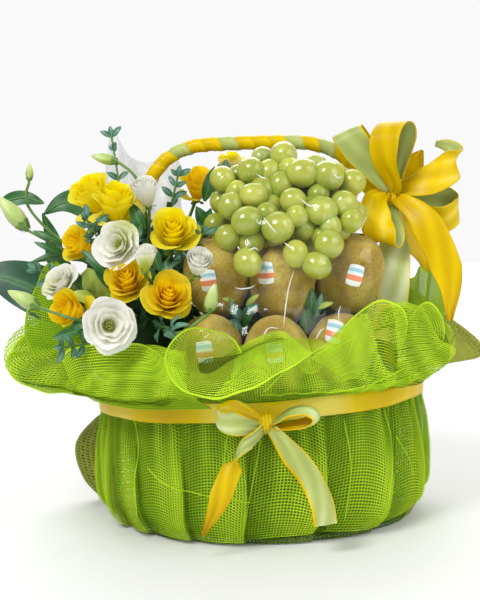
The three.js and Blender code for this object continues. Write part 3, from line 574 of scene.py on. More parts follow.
def smooth_rows(table, x):
    """The columns of a table at every x, on smooth curves through its rows."""
    table = np.asarray(table, float)
    xs, ys = table[:, 0], table[:, 1:]
    slopes = np.gradient(ys, xs, axis=0)
    k = np.clip(np.searchsorted(xs, x, side="right") - 1, 0, len(xs) - 2)
    span = (xs[k + 1] - xs[k])[:, None]
    t = clamp((x - xs[k])[:, None] / span)
    pull = t * (1 - t) ** 2 * slopes[k] - t * t * (1 - t) * slopes[k + 1]
    return ys[k] + (ys[k + 1] - ys[k]) * ease(t) + span * pull


# Courses and grids of points
def spline(points, count):
    """Evenly spaced points on a smooth curve through the given ones."""
    p = np.asarray(points, float)
    ext = np.vstack([2 * p[0] - p[1], p, 2 * p[-1] - p[-2]])
    fine = []
    for i in range(len(p) - 1):
        a, b, c, d = ext[i : i + 4]
        t = np.linspace(0, 1, 17)[: None if i == len(p) - 2 else -1, None]
        bend, twist = 2 * a - 5 * b + 4 * c - d, 3 * b - a - 3 * c + d
        fine.append(0.5 * (2 * b + (c - a) * t + bend * t**2 + twist * t**3))
    fine = np.vstack(fine)
    far = np.concatenate([[0], np.cumsum(np.linalg.norm(np.diff(fine, axis=0), axis=1))])
    return read_off(np.linspace(0, far[-1], count), far, fine)


def path_length(path):
    return np.linalg.norm(np.diff(path, axis=0), axis=1).sum()


def tangents(path):
    return units(np.gradient(path, axis=0))


def turn_of(count):
    """Evenly spaced angles once round."""
    return np.linspace(0, 2 * math.pi, count, endpoint=False)


def polar(radius, angle, height, oval=1.0):
    """Points round the upright axis."""
    return np.stack(np.broadcast_arrays(radius * np.cos(angle), oval * radius * np.sin(angle), height), -1)


def turned_to(points, faces):
    """Points turned so that their +Z looks along faces."""
    turn = Vector(faces).to_track_quat("Z", "Y").to_matrix()
    return np.asarray(points) @ np.array(turn).T


def grid_faces(rows, columns, closed=False, wrapped=False):
    """Quads of a grid, as corner numbers. Closed, its last row meets its first. Wrapped, its columns do."""
    i = np.arange(rows if closed else rows - 1)[:, None]
    j = np.arange(columns if wrapped else columns - 1)[None, :]
    i_next, j_next = (i + 1) % rows, (j + 1) % columns
    corners = [i * columns + j, i_next * columns + j, i_next * columns + j_next, i * columns + j_next]
    return np.stack(corners, -1).reshape(-1, 4)


def ball(middle, half, across, down):
    """Points and faces of an ellipsoid, with a fan of flat quads at each pole."""
    b = np.linspace(0.001, math.pi - 0.001, down)
    shape = polar(np.sin(b), turn_of(across)[:, None], np.cos(b))
    return shape.reshape(-1, 3) * half + middle, grid_faces(across, down, closed=True)[:, ::-1]


def tube(course, radius, count, sides):
    """Points of a rod along a course, as a grid that is closed round it."""
    path = spline(course, count)
    along = tangents(path)
    a = turn_of(sides)[:, None]
    side = unit(np.cross(along[0], (0.3, 0.2, 1)))
    rings = []
    for p, t in zip(path, along):
        side = unit(side - t * np.dot(side, t))
        rings.append(p + radius * (np.cos(a) * side + np.sin(a) * np.cross(t, side)))
    return np.stack(rings, 1)


def flat_size(points, kept=None):
    """A sheet's size before it was hung, in metres: its kept points' mean lengths along both ways."""
    kept = np.ones(points.shape[:2], bool) if kept is None else kept
    along = (np.linalg.norm(np.diff(points, axis=0), axis=2) * (kept[1:] & kept[:-1])).sum(0)
    across = (np.linalg.norm(np.diff(points, axis=1), axis=2) * (kept[:, 1:] & kept[:, :-1])).sum(1)
    return along[along > 0].mean() * MM, across[across > 0].mean() * MM


class Heap:
    """Pieces of mesh that become one object, each face with its material's number, each point with a tint."""

    def __init__(self):
        self.points, self.faces, self.slots, self.tints, self.cuts = [], [], [], [], []
        self.count = 0

    def add(self, points, faces, slot=0, tint=0.0):
        points = np.asarray(points, float).reshape(-1, 3)
        self.points.append(points)
        self.faces.append(faces + self.count)
        self.slots.append(np.broadcast_to(slot, len(faces)))
        self.tints.append(np.broadcast_to(np.asarray(tint, float).reshape(-1), len(points)))
        self.count += len(points)

    def grid(self, points, slot=0, tint=0.0, **ways):
        """Adds a grid of points, closed or wrapped if the ways say so."""
        self.add(points, grid_faces(*points.shape[:2], **ways), slot, tint)

    def face_list(self):
        return [face for block in self.faces for face in block.tolist()]

    def build(self, name, materials, node=None, slot=None, smooth=True):
        """The object, riding on the body, in place of a solid where one is named."""
        mesh = bpy.data.meshes.new(name)
        mesh.from_pydata((np.vstack(self.points) * MM).tolist(), [], self.face_list())
        for material in materials:
            mesh.materials.append(material)
        mesh.polygons.foreach_set("material_index", np.concatenate(self.slots).astype(np.int32))
        mesh.polygons.foreach_set("use_smooth", np.full(len(mesh.polygons), smooth))
        tint = mesh.attributes.new("tint", "FLOAT", "POINT")
        tint.data.foreach_set("value", np.concatenate(self.tints).astype(np.float32))
        mesh.update()
        made = linked(name, mesh)
        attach(made, "root")
        if node:
            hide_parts(node)
        return made


def linked(name, data):
    """A new object in the scene."""
    made = bpy.data.objects.new(name, data)
    bpy.context.scene.collection.objects.link(made)
    return made


# Materials
def add_node(owner, kind, **values):
    """A new shader node with these values at its inputs."""
    node = owner.node_tree.nodes.new("ShaderNode" + kind)
    for socket, value in values.items():
        node.inputs[socket].default_value = value
    return node


def link(owner, source, out, target, into):
    owner.node_tree.links.new(source.outputs[out], target.inputs[into])


def shader_of(made):
    return made.node_tree.nodes["Principled BSDF"]


def new_material(name, colour, roughness, **sockets):
    """A Principled material with these values set on the shader itself."""
    made = bpy.data.materials.new(name)
    made.use_nodes = True
    values = {"Base_Color": (*linear(colour), 1), "Roughness": roughness, **sockets}
    for socket, value in values.items():
        shader_of(made).inputs[socket.replace("_", " ")].default_value = value
    return made


def noise_node(made, scale, detail, stretch=(1, 1, 1)):
    """A noise texture in the solids' own frame, with scale in waves for each metre."""
    mapping = add_node(made, "Mapping", Scale=stretch)
    noise = add_node(made, "TexNoise", Scale=scale, Detail=detail)
    link(made, add_node(made, "TexCoord"), "Object", mapping, "Vector")
    link(made, mapping, "Vector", noise, "Vector")
    return noise


def ramp(made, source, stops):
    """The colour that a ramp gives for a node's value, from stops of place and hex colour."""
    node = add_node(made, "ValToRGB")
    elements = node.color_ramp.elements
    while len(elements) < len(stops):
        elements.new(0.5)
    for element, (place, colour) in zip(elements, stops.items()):
        element.position = place
        element.color = (*linear(colour), 1)
    link(made, source, "Fac", node, "Fac")
    return node.outputs["Color"]


def mixed(made, first, second, share, way="MIX"):
    """The mix of two colours."""
    node = add_node(made, "Mix")
    node.data_type = "RGBA"
    node.blend_type = way
    node.inputs["Factor"].default_value = share
    made.node_tree.links.new(first, node.inputs["A"])
    made.node_tree.links.new(second, node.inputs["B"])
    return node.outputs["Result"]


def coloured(made, tint_stops=None, noise_stops=None, scale=60, detail=4, mix=0.5):
    """Base colour from the points' tint, from noise, or from both."""
    colours = []
    if tint_stops:
        tint = add_node(made, "Attribute")
        tint.attribute_name = "tint"
        colours.append(ramp(made, tint, tint_stops))
    if noise_stops:
        colours.append(ramp(made, noise_node(made, scale, detail), noise_stops))
    colour = mixed(made, *colours, mix) if len(colours) == 2 else colours[0]
    made.node_tree.links.new(colour, shader_of(made).inputs["Base Color"])
    return made


def add_bump(made, shader, noise, distance, strength):
    """Fine relief from noise, on a shader."""
    bump = add_node(made, "Bump", Strength=strength, Distance=distance * MM)
    link(made, noise, "Fac", bump, "Height")
    link(made, bump, "Normal", shader, "Normal")


def bumped(made, scale, distance, strength=0.6, detail=3, stretch=(1, 1, 1)):
    add_bump(made, shader_of(made), noise_node(made, scale, detail, stretch), distance, strength)
    return made


def fuzzy(made, scale, stops, stretch):
    """Short fine hairs, as strokes that darken the base colour."""
    strokes = ramp(made, noise_node(made, scale, 2, stretch), stops)
    base = shader_of(made).inputs["Base Color"]
    darker = mixed(made, base.links[0].from_socket, strokes, 1.0, "MULTIPLY")
    made.node_tree.links.new(darker, base)
    return made


def two_shaders(made, first, second, share):
    """Makes the surface of two shaders, with this share of the second."""
    both = add_node(made, "MixShader", Fac=share)
    link(made, first, "BSDF", both, 1)
    link(made, second, "BSDF", both, 2)
    link(made, both, "Shader", made.node_tree.nodes["Material Output"], "Surface")
    return made


def seen_through(made, colour, share):
    """Mixes in a translucent shader, for thin things that light passes through."""
    thin = add_node(made, "BsdfTranslucent", Color=(*linear(colour), 1))
    return two_shaders(made, shader_of(made), thin, share)


def net_material(name, painted_shade, dark, light, through):
    """Net whose tint is painted shade and light: dark at the bottom of a fold, light on its crest."""
    made = new_material(name, light, 0.5, Specular_IOR_Level=0)
    coloured(made, {0: painted_shade, 0.55: dark, 1: light}, {0.3: dark, 0.7: light}, scale=45, detail=5, mix=0.25)
    return seen_through(made, through, 0.25)


def petal_material(name, tint_stops, through, share):
    made = new_material(name, tint_stops[1], 0.5, Specular_IOR_Level=0.25)
    coloured(made, tint_stops)
    bumped(made, 900, 0.15, 0.35, stretch=(1, 1, 0.25))
    return seen_through(made, through, share)


def leaf_material(name, tint_stops, dark, light, roughness=0.42):
    """A green whose tint is highest along a leaf's midrib, mottled with two more."""
    made = new_material(name, tint_stops[0], roughness, Specular_IOR_Level=0.45)
    coloured(made, tint_stops, {0.3: dark, 0.7: light}, scale=120, mix=0.35)
    return bumped(made, 700, 0.2, 0.4)


def satin(name, painted_shade, dark, light, shine):
    """Satin whose tint is painted light and shade: from painted shade at the bottom of a crease to painted
    highlight streaks.
    """
    made = new_material(name, light, 0.3, Specular_IOR_Level=0.14, Anisotropic=0.6)
    coloured(made, {0: painted_shade, 0.4: dark, 0.7: light, 1: shine}, {0.3: dark, 0.6: light}, 26, 2, 0.25)
    return bumped(made, 1500, 0.05, 0.5, detail=2, stretch=(1, 1, 0.2))


def film_material():
    """Clear film, of which only its shine is seen."""
    made = bpy.data.materials.new("clear_film")
    made.use_nodes = True
    made.node_tree.nodes.remove(shader_of(made))
    shine = add_node(made, "BsdfGlossy", Roughness=0.1)
    add_bump(made, shine, noise_node(made, 70, 4), 0.6, 1.0)
    return two_shaders(made, add_node(made, "BsdfTransparent"), shine, 0.035)


def kiwi_material():
    """Brown skin, mottled and covered with short hairs that run round it."""
    made = new_material("kiwi_skin", "#9a7b3e", 0.6, Sheen_Weight=0.12, Specular_IOR_Level=0.25)
    coloured(made, noise_stops={0.25: "#84680e", 0.48: "#b49c40", 0.75: "#d8c668"}, scale=48, detail=9)
    bumped(made, 900, 0.25, 0.5, stretch=HAIR_STRETCH)
    return fuzzy(made, 900, {0.3: "#d8d0c0", 0.62: "#ffffff"}, HAIR_STRETCH)


def grape_material():
    looks = dict(Subsurface_Weight=0.6, Subsurface_Scale=0.009, Specular_IOR_Level=0.45, Coat_Weight=0.5)
    made = new_material("grape_skin", "#b9c85a", 0.26, **looks)
    return coloured(made, {0: "#8ea028", 1: "#c2c64e"}, {0.3: "#8ea030", 0.7: "#ccd260"}, scale=60, mix=0.45)


# Each satin's first colour is the painted shade in its creases, its last its painted highlight.
gold = satin("gold_satin", "#a88400", "#cca800", "#e4c400", "#fbee80")
sage = satin("sage_satin", "#868f42", "#a2ae5e", "#bcc87c", "#e8eec8")
lime_net = net_material("lime_net", "#4c7018", "#8cb826", "#d4f63e", "#c6ea32")
# A darker copy of the lime net for its second layers, throat and inner sides: painted shade.
lime_net_in_shade = net_material("lime_net_in_shade", "#304c12", "#486a14", "#72941c", "#6c8e18")
olive_net = net_material("olive_net", "#6f7830", "#9aa044", "#b8bc58", "#b8c058")
wicker = new_material("wicker", "#6b4a26", 0.6)
bumped(coloured(wicker, noise_stops={0.3: "#3c2612", 0.7: "#7a5428"}, scale=90), 600, 0.4)
kiwi_skin = kiwi_material()
kiwi_ends = new_material("kiwi_ends", "#4a3416", 0.85)
label_white = new_material("label_white", "#eef2ee", 0.35)
label_blue = new_material("label_blue", "#9fd0e0", 0.35)
label_coral = new_material("label_coral", "#ef8a5a", 0.35)
grape_skin = grape_material()
# A dark body inside the bunch: painted shade in the gaps between the grapes.
grape_shade_core = new_material("grape_shade_core", "#5c6b1e", 0.8)
grape_stalk = new_material("grape_stalk", "#7c7a3a", 0.7)
rose_tints = {0: "#f0c400", 0.3: "#f8e004", 0.75: "#fcec14", 1: "#fdf24e"}
warm_tints = {0: "#f09c00", 0.3: "#f8c000", 0.6: "#fbdc0c", 1: "#fdee40"}
white_tints = {0: "#b0bc34", 0.22: "#d6dc88", 0.45: "#f0f0e0", 1: "#f7f7f3"}
rose_petal = petal_material("rose_petal", rose_tints, "#fff410", 0.42)
warm_petal = petal_material("warm_petal", warm_tints, "#ffe610", 0.42)
white_petal = petal_material("white_petal", white_tints, "#f4f4e6", 0.25)
bud_green = leaf_material("bud_green", {0: "#7f9f45", 0.6: "#b2c675", 1: "#d3dba0"}, "#8fae50", "#c2d088")
stem_green = leaf_material("stem_green", {0: "#4f7a34", 1: "#6d9440"}, "#47702c", "#7fa04c")
dark_leaf = leaf_material("dark_leaf", {0: "#143d2a", 0.85: "#1e5236", 1: "#5c8a5a"}, "#0f3324", "#2d6544")
small_leaf = leaf_material("small_leaf", {0: "#2e5e4a", 0.85: "#4a7d66", 1: "#88aa8c"}, "#27543f", "#6a9680")
fill_tints = {0: "#1c4a22", 0.85: "#2f6a30", 1: "#5d8c48"}
filler_leaf = leaf_material("filler_leaf", fill_tints, "#173f1e", "#3f7a38")
pale_leaf = leaf_material("pale_leaf", {0: "#7d9c2c", 1: "#b6c85c"}, "#86a634", "#c4d274")
moss = leaf_material("moss", {0: "#1b3a1a", 1: "#27481f"}, "#142d14", "#33562a", 0.9)
film_haze = new_material("film_haze", "#d6dadc", 0.3, Alpha=0.62)
clear_film = film_material()
# White strips that stand for the film's shine on its creases: painted highlights.
film_glint = new_material("film_glint", "#eef2f0", 0.2, Alpha=0.7)


# Holder
def add_plait(heap, middle, height, start):
    """One strand of the round plait at the tub's rim or foot."""
    b, c = turn_of(360)[:, None], turn_of(8)
    twist = b * PLAIT["turns"] + start
    radius = middle + PLAIT["reach"] * np.cos(twist) + PLAIT["thick"] * np.cos(c)
    strand = polar(radius, b, height + PLAIT["reach"] * np.sin(twist) + PLAIT["thick"] * np.sin(c), OVAL)
    heap.grid(np.concatenate([strand, strand[:, :1]], 1), closed=True)


def build_tub():
    """Woven tub: weavers pass in and out round upright stakes, between a plaited foot and rim."""
    profile = [(TUB["foot"], 0), (TUB["swell"], TUB["swell_height"]), (TUB["rim"], TUB["height"])]
    around, up = WEAVE["steps"]
    outer = spline(profile, WEAVE["rows"] * up)
    plain = np.vstack([outer[:: -2 * up], outer[:1]])
    a = turn_of(WEAVE["stakes"] * around)[:, None]
    row = np.arange(len(outer)) / up
    in_and_out = WEAVE["reach"] * np.sin(a * WEAVE["stakes"] / 2 + math.pi * np.floor(row))
    woven = in_and_out + WEAVE["ridge"] * np.abs(np.sin(math.pi * row)) - WEAVE["inset"]
    wall = polar(outer[:, 0] + woven, a, outer[:, 1], OVAL)
    inner = polar(plain[:, 0] - TUB["wall"] - 1, a, plain[:, 1], OVAL)
    heap = Heap()
    heap.grid(np.concatenate([wall, inner], 1), closed=True)
    for middle, height in [(TUB["rim"] - 0.5, TUB["height"] - 2.5), (TUB["foot"] - 2, 3.4)]:
        for start in (0, math.pi):
            add_plait(heap, middle, height, start)
    heap.grid(polar(np.linspace(2, TUB["foot"] - 3, 12), a, 0.6, OVAL), closed=True)
    heap.build("woven_tub", [wicker], "basket_tub", "wicker")


def build_handle():
    """Arched rod wound with ribbon, whose turns overlap, with sage turns among the gold ones."""
    h = HANDLE
    a = np.radians(np.linspace(180, 0, 33))
    square = np.where(np.cos(a) < 0, *h["squares"])
    x = h["half"] * np.sign(np.cos(a)) * np.abs(np.cos(a)) ** (2 / square)
    z = h["shoulder"] + (h["top"] - h["shoulder"]) * np.maximum(np.sin(a), 0) ** (2 / h["crown"])
    arch = np.stack([h["centre"] + x, 0 * x, z], -1)
    feet = [(h["centre"] + side * (h["half"] - h["foot_inset"]), 0, HANDLE_FOOT) for side in (-1, 1)]
    count, sides = 620, 20
    path = spline([feet[0], *arch, feet[1]], count)
    far = np.linspace(0, path_length(path), count)
    angles = turn_of(sides)
    turns = far[:, None] / WINDING["length"] - WINDING["start"] + angles / (2 * math.pi)
    step = turns - np.floor(turns)
    radius = h["rod"] - 1.1 + step ** 0.7 + 0.12 * np.sin(step * 18)
    sideways = np.cos(angles)[None, :, None] * np.cross(tangents(path), (0, 1, 0))[:, None]
    rings = path[:, None] + radius[..., None] * (sideways + np.sin(angles)[:, None] * np.array([0, 1, 0]))
    faces = grid_faces(sides, count, closed=True)
    turn_of_face = np.floor(turns.T.reshape(-1)[faces[:, 0]]).astype(int)
    slots = np.isin(turn_of_face, WINDING["sage"]).astype(int)
    heap = Heap()
    # The tint is painted shade: darker where each turn starts under the raised edge of the one before,
    # lighter up to its own edge.
    heap.add(rings.transpose(1, 0, 2), faces, slots, (0.35 + 0.35 * step).T)
    heap.build("wound_handle", [gold, sage], "handle", "gold_satin")


# Nets
def waist_height(degrees):
    return WAIST["height"] + WAIST["slant"] * WAIST["radius"] * np.cos(np.radians(degrees))


def stacked(rings):
    """Rings of radius and height as one table, in which every column of net has a row."""
    return np.stack([np.stack(np.broadcast_arrays(radius, height), -1) for radius, height in rings], 1)


def thread_places(cells, share):
    """Both edges of every thread along a row of cells, counted in cells."""
    starts = np.arange(cells + 1)
    return np.stack([starts, starts + share], -1).reshape(-1)[:-1]


def section_curve(rings, cells, share):
    """Points on smooth curves through each column's rings, spaced as threads and holes."""
    fine = 121
    places = thread_places(cells, share) / cells
    return np.array([read_off(places, np.linspace(0, 1, fine), spline(ring, fine)) for ring in rings])


def net_faces(rows, columns, selvedge, left_out):
    """Faces of a net: those of a grid without the ones between threads, but whole near its last column."""
    faces = grid_faces(rows, columns)
    i, j = faces[:, 0] // columns, faces[:, 0] % columns
    kept = (i % 2 == 0) | (j % 2 == 0) | (j >= columns - 1 - selvedge)
    return faces[kept & ~left_out[i, j]]


def lay_net(heap, points, threads, tint, selvedge=0, left_out=None):
    """Adds one cut of net, and notes its flat size, the share of it that is kept and the thread in that."""
    left_out = np.zeros(points.shape[:2], bool) if left_out is None else left_out
    heap.add(points, net_faces(*points.shape[:2], selvedge, left_out), 0, tint)
    heap.cuts.append((*flat_size(points), 1 - left_out.mean(), 1 - (1 - threads[0]) * (1 - threads[1])))


def pleats(degrees):
    """Lapped pleats between the valleys: how far each point stands out, its dome, and its threads' slide."""
    valleys = np.array(VALLEYS, float)
    k = np.clip(np.searchsorted(valleys, degrees, side="right") - 1, 0, len(valleys) - 2)
    along = clamp((degrees - valleys[k]) / (valleys[k + 1] - valleys[k]))
    rising = clamp(along / PLEAT_CREST)
    fall = ease(clamp((along - PLEAT_CREST) / (1 - PLEAT_CREST)))
    return np.sin(0.5 * math.pi * rising) * (1 - fall), np.sin(math.pi * along), rising - 0.5 - fall


def skirt_rings(degrees, belly, hem_height):
    """Radius and height of the skirt's section at the hem, the belly and the waist, and between them."""
    waist = waist_height(degrees)
    hem = SKIRT["hem"] + (belly - SKIRT["belly"]) * 0.7
    rings = [
        (hem, hem_height),
        ((hem + 3 * belly) / 4 + 1, 0.5 * hem_height + SKIRT["belly_height"] * 0.4),
        (belly, SKIRT["belly_height"]),
        ((belly + WAIST["radius"]) / 2 + 0.8, (SKIRT["belly_height"] + waist) / 2),
        (WAIST["radius"], waist - WAIST["straight"]),
        (WAIST["radius"], waist + WAIST["straight"]),
    ]
    return stacked(rings)


def skirt_net(heap, belly_of, inset, span, pleated, threads=SKIRT_THREADS, lift=NO_LIFT, coarse=1.0):
    """The net from the hem up to the waist, in lapped pleats, with threads that rise in each one's middle."""
    length = math.radians(span[1] - span[0]) * 0.93 * SKIRT["belly"]
    around, up = round(length / CROSS_PITCH / coarse), round(SKIRT["tall"] / HOOP_PITCH / coarse)
    share = thread_places(around, threads[0]) / around
    degrees = span[0] + (span[1] - span[0]) * share
    hem_height = HEM_CLEAR + np.interp(degrees, *np.array(lift, float).T)
    section = section_curve(skirt_rings(degrees, belly_of(degrees), hem_height), up, threads[1])
    v = thread_places(up, threads[1]) / up
    stand, dome, slide = (column[:, None] for column in pleats(degrees))
    loose = clamp((0.88 - v) / 0.45) ** 0.8
    fine = wave(52 * degrees + 90 * wave(9 * degrees))[:, None]
    gather = 1.5 * fine * clamp(v * 1.9 - 0.6) * pleated
    radius = section[..., 0] - inset + SKIRT["pleat"] * pleated * (stand - 0.45) * loose + gather
    sag = pleated * np.sin(math.pi * v) * (SKIRT["sag"] * (dome - 0.6) - SKIRT["slide"] * slide)
    askew = ((0.5 + 0.5 * wave(2.2 * (degrees - 262))) * np.sin(math.pi * share) ** 0.7)[:, None]
    shift = np.degrees(SKIRT["shear"] * pleated * stand * loose / SKIRT["belly"])
    shift = shift + SKIRT["lean"] * pleated * askew * (v - 0.5)
    angle = np.radians(degrees[:, None] + shift)
    points = polar(radius, angle, np.maximum(section[..., 1] + sag, 0.5 * HEM_CLEAR), OVAL)
    # The tint is painted light and shade: light where a pleat stands out, dark in its valleys and folds.
    lay_net(heap, points, threads, clamp(0.2 + 0.7 * stand * (0.4 + 0.6 * loose) + 0.22 * fine * v))


def front_rings(degrees):
    lip_r, lip_z, dip_r, dip_z, crest_r, crest_z = smooth_rows(FRONT_COLLAR, degrees).T
    above = waist_height(degrees) + WAIST["straight"]
    rings = [
        (WAIST["radius"], above - 14),
        (WAIST["radius"], above - 2),
        ((WAIST["radius"] + lip_r) / 2, 0.75 * np.minimum(above + 2, lip_z - 2) + 0.25 * lip_z),
        (lip_r, lip_z),
        (lip_r - 6, lip_z + 9),
        (dip_r, dip_z),
        (crest_r + 2, crest_z - 4),
        (crest_r - 4, crest_z),
        (crest_r - 10, crest_z - 18),
    ]
    return stacked(rings)


def back_rings(degrees):
    _, lip_r, lip_z, crest_r, crest_z = smooth_rows(BACK_COLLAR, degrees).T
    above = waist_height(degrees) + WAIST["straight"]
    waist = WAIST["radius"] - BACK_INSET * 0.5
    rings = [
        (waist, above - 14),
        (waist, above - 2),
        ((waist + lip_r) / 2, 0.7 * above + 0.3 * lip_z),
        (lip_r, lip_z),
        (crest_r, crest_z),
        (crest_r - 4, crest_z - 2),
    ]
    return stacked(rings)


def tucked_rings(degrees):
    """The layer tucked under the front sheet, where the photo shows no light through."""
    return front_rings(degrees) - np.array([6, 4])


def behind_rings(degrees):
    """The back sheet's second layer, which lies just inside the first."""
    return back_rings(degrees) - np.array([1.6, 0])


def collar_net(heap, rings_of, span, cells, open_to=(), threads=COLLAR_THREADS):
    """The net from the waist out over the lip, in fine folds at the waist. Behind a puff it is open."""
    around, up = cells
    column = span[0] + (span[1] - span[0]) * thread_places(around, threads[0]) / around
    section = section_curve(rings_of(column), up, threads[1])
    degrees = column[:, None]
    v = thread_places(up, threads[1]) / up
    fold = wave(47 * degrees + 60 * wave(5 * degrees) + 150 * v)
    gather = 2.6 * fold * np.exp(-(((v - 0.22) / 0.2) ** 2))
    frill = 1.4 * wave(17 * degrees + 80 * v) * clamp((v - 0.5) / 0.4)
    height = section[..., 1] + gather + frill
    points = polar(section[..., 0] + 0.4 * gather, np.radians(degrees), height, OVAL)
    left_out = np.zeros(points.shape[:2], bool)
    for start, end in open_to:
        across = np.abs(2 * (degrees - start) / (end - start) - 1)
        left_out |= (across < 1) & (v > PUFF_OPENING + (1 - PUFF_OPENING) * np.minimum(across, 1) ** 3)
    # The tint is painted shade and light: darker in the troughs of the folds, lighter towards the lip.
    tint = clamp(0.8 + 0.3 * fold * clamp(1.2 - v) + 0.2 * (v - 0.5))
    lay_net(heap, points, threads, tint, SELVEDGE, left_out)


def puff_net(heap, spec, threads, tints=(0.72, 1.0), back=0.0):
    """One puff of net, hollowed between its heart and its rim, with a rim that rolls forward."""
    rim, heart = np.array(spec["rim"], float), np.array(spec["heart"], float)
    reach = np.linalg.norm(rim - heart, axis=1).max() * 1.2
    around = round(path_length(spline(rim, 60)) / PUFF_PITCH[0])
    up = max(round(reach / PUFF_PITCH[1]), 6)
    u, v = thread_places(around, threads[0])[:, None] / around, thread_places(up, threads[1]) / up
    fine = 241
    both = read_off(u[:, 0], np.linspace(0, 1, fine), spline(np.hstack([rim, heart]), fine))[:, None]
    hollow = np.array(spec["hollow"], float) * np.sin(math.pi * clamp(v * 1.08))[:, None]
    roll = np.array([0, -2.6, 0]) * clamp((v - 0.86) / 0.14)[:, None]
    wavy = np.array([0, 0.4, 1]) * (0.6 * np.sin(u * around * 0.4) * v**3)[..., None]
    points = both[..., 3:] + (both[..., :3] - both[..., 3:]) * v[:, None] + hollow + roll + wavy
    # The tint is painted shade and light: shaded at the heart, lit at the rim.
    tint = tints[0] + (tints[1] - tints[0]) * v + 0 * u
    lay_net(heap, points + np.array([0, back, 0]), threads, tint, SELVEDGE)


def lay_edges(heap, edges):
    """Folded edges of net that lie on what the heap holds so far, as seen from the front."""
    tree = BVHTree.FromPolygons([Vector(p) for p in np.vstack(heap.points)], heap.face_list())
    for course in edges:
        line = spline([(x, 0, z) for x, z in course], 60)
        side = np.cross(tangents(line), (0, 1, 0))
        points = line[:, None] + side[:, None] * EDGE_WIDTH * np.array([-0.5, 0, 0.5])[:, None]
        depth = -150.0
        for point in points.reshape(-1, 3):
            ahead = tree.ray_cast(Vector((point[0], -400, point[2])), Vector((0, 1, 0)), 600)[0]
            near = tree.find_nearest(Vector((point[0], depth, point[2])))[0]
            depth = near.y if ahead is None else ahead.y
            point[1] = depth
        nearest = points[..., 1].min(1)
        front = np.minimum(smoothed(nearest, 4), nearest) - 0.8
        points[..., 1] = front[:, None] + np.array([0.3, -0.4, 0.3])
        heap.grid(points, 0, EDGE_TINT)


def plain_belly(degrees):
    return 0 * degrees + SKIRT["belly"]


def back_belly(degrees):
    return smooth_rows(BACK_COLLAR, degrees)[:, 0]


def lay_front(skirt, collar, lining):
    """The front sheet: its skirt, its collar with the puffs, and the second layers behind both."""
    skirt_net(skirt, plain_belly, 0, FRONT_SPAN, 1.0, lift=HEM_LIFT)
    lay_edges(skirt, SKIRT_EDGES)
    collar_net(collar, front_rings, FRONT_SPAN, COLLAR_CELLS, COLLAR_OPENINGS)
    lay_edges(collar, COLLAR_EDGES)
    for span, cells in TUCKED:
        collar_net(lining, tucked_rings, span, cells)
    for spec in PUFFS:
        puff_net(collar, spec, THIN_THREADS if spec in PUFFS[2:4] else COLLAR_THREADS)
    puff_net(collar, LOBE, (0.5, 0.3), (0.45, 0.6))
    puff_net(collar, TAIL_LOBE, (0.45, 0.35), (0.35, 0.75))
    puff_net(lining, THROAT, (0.3, 0.5), (0.1, 0.6))
    for spec in (PUFFS[0], PUFFS[1], LOBE):
        puff_net(lining, spec, DENSE_THREADS, (1.0, 1.0), BEHIND)
    skirt_net(lining, plain_belly, LINING_INSET, FRONT_SPAN, 0.4, coarse=LINING_COARSE)
    skirt_net(lining, plain_belly, EDGE_INSET, EDGE_SPAN, 1.0, lift=HEM_LIFT)


def lay_back(outer, inner):
    """The back sheet: its part of the lobe at the right, both layers of its skirt and both of its collar."""
    puff_net(outer, TAIL_LOBE, DENSE_THREADS, (0.5, 0.9), BEHIND)
    skirt_net(outer, back_belly, BACK_INSET, BACK_SPAN, 0.7, BACK_THREADS)
    for rings_of, cells in zip((back_rings, behind_rings), BACK_CELLS):
        collar_net(outer, rings_of, BACK_SPAN, cells, threads=BACK_THREADS)
    skirt_net(inner, back_belly, BACK_INSET + LINING_INSET, BACK_SPAN, 0.4, coarse=LINING_COARSE)


def build_wrap():
    skirt, collar, lining, outer, inner = (Heap() for _ in range(5))
    lay_front(skirt, collar, lining)
    lay_back(outer, inner)
    pieces = [
        ("front_skirt_net", skirt, lime_net, "mesh_front", "lime_mesh"),
        ("front_collar_net", collar, lime_net, "mesh_front", "lime_mesh"),
        ("front_lining_net", lining, lime_net_in_shade, "mesh_front", "lime_mesh"),
        ("back_net", outer, olive_net, "mesh_back", "olive_mesh"),
        ("back_lining_net", inner, lime_net_in_shade, "mesh_back", "olive_mesh"),
    ]
    for name, heap, material, node, slot in pieces:
        made = heap.build(name, [material], node, slot)


# Ribbons
def ribbon_course(course, knot, loop):
    """The course from the knot on, and back to it if it is a loop."""
    ends = [knot + 0.25 * (np.array(point, float) - knot) for point in (course[0], course[-1])]
    return [ends[0], *course, ends[1]] if loop else [ends[0], *course]


def ribbon_opening(t, taper):
    """The share of its width that a ribbon has along its course, with its ends gathered."""
    start = taper[0] + t / RIBBON_OPENS * (1 - taper[0])
    end = taper[1] + (1 - t) / RIBBON_OPENS * (1 - taper[1])
    return np.minimum(1, np.minimum(start, end))


def ribbon_faces(steps, n, rim, flip, gold_from):
    """Faces round a ribbon that is n points wide, and which are sage: one side but for its woven edges."""
    faces = grid_faces(steps, 2 * n, wrapped=True)
    i, j = faces[:, 0] // (2 * n), faces[:, 0] % (2 * n)
    on_sage = (j >= rim) & (j < n - 2) if flip else (j > n) & (j < 2 * n - 1 - rim)
    return faces, on_sage & (i < gold_from * steps)


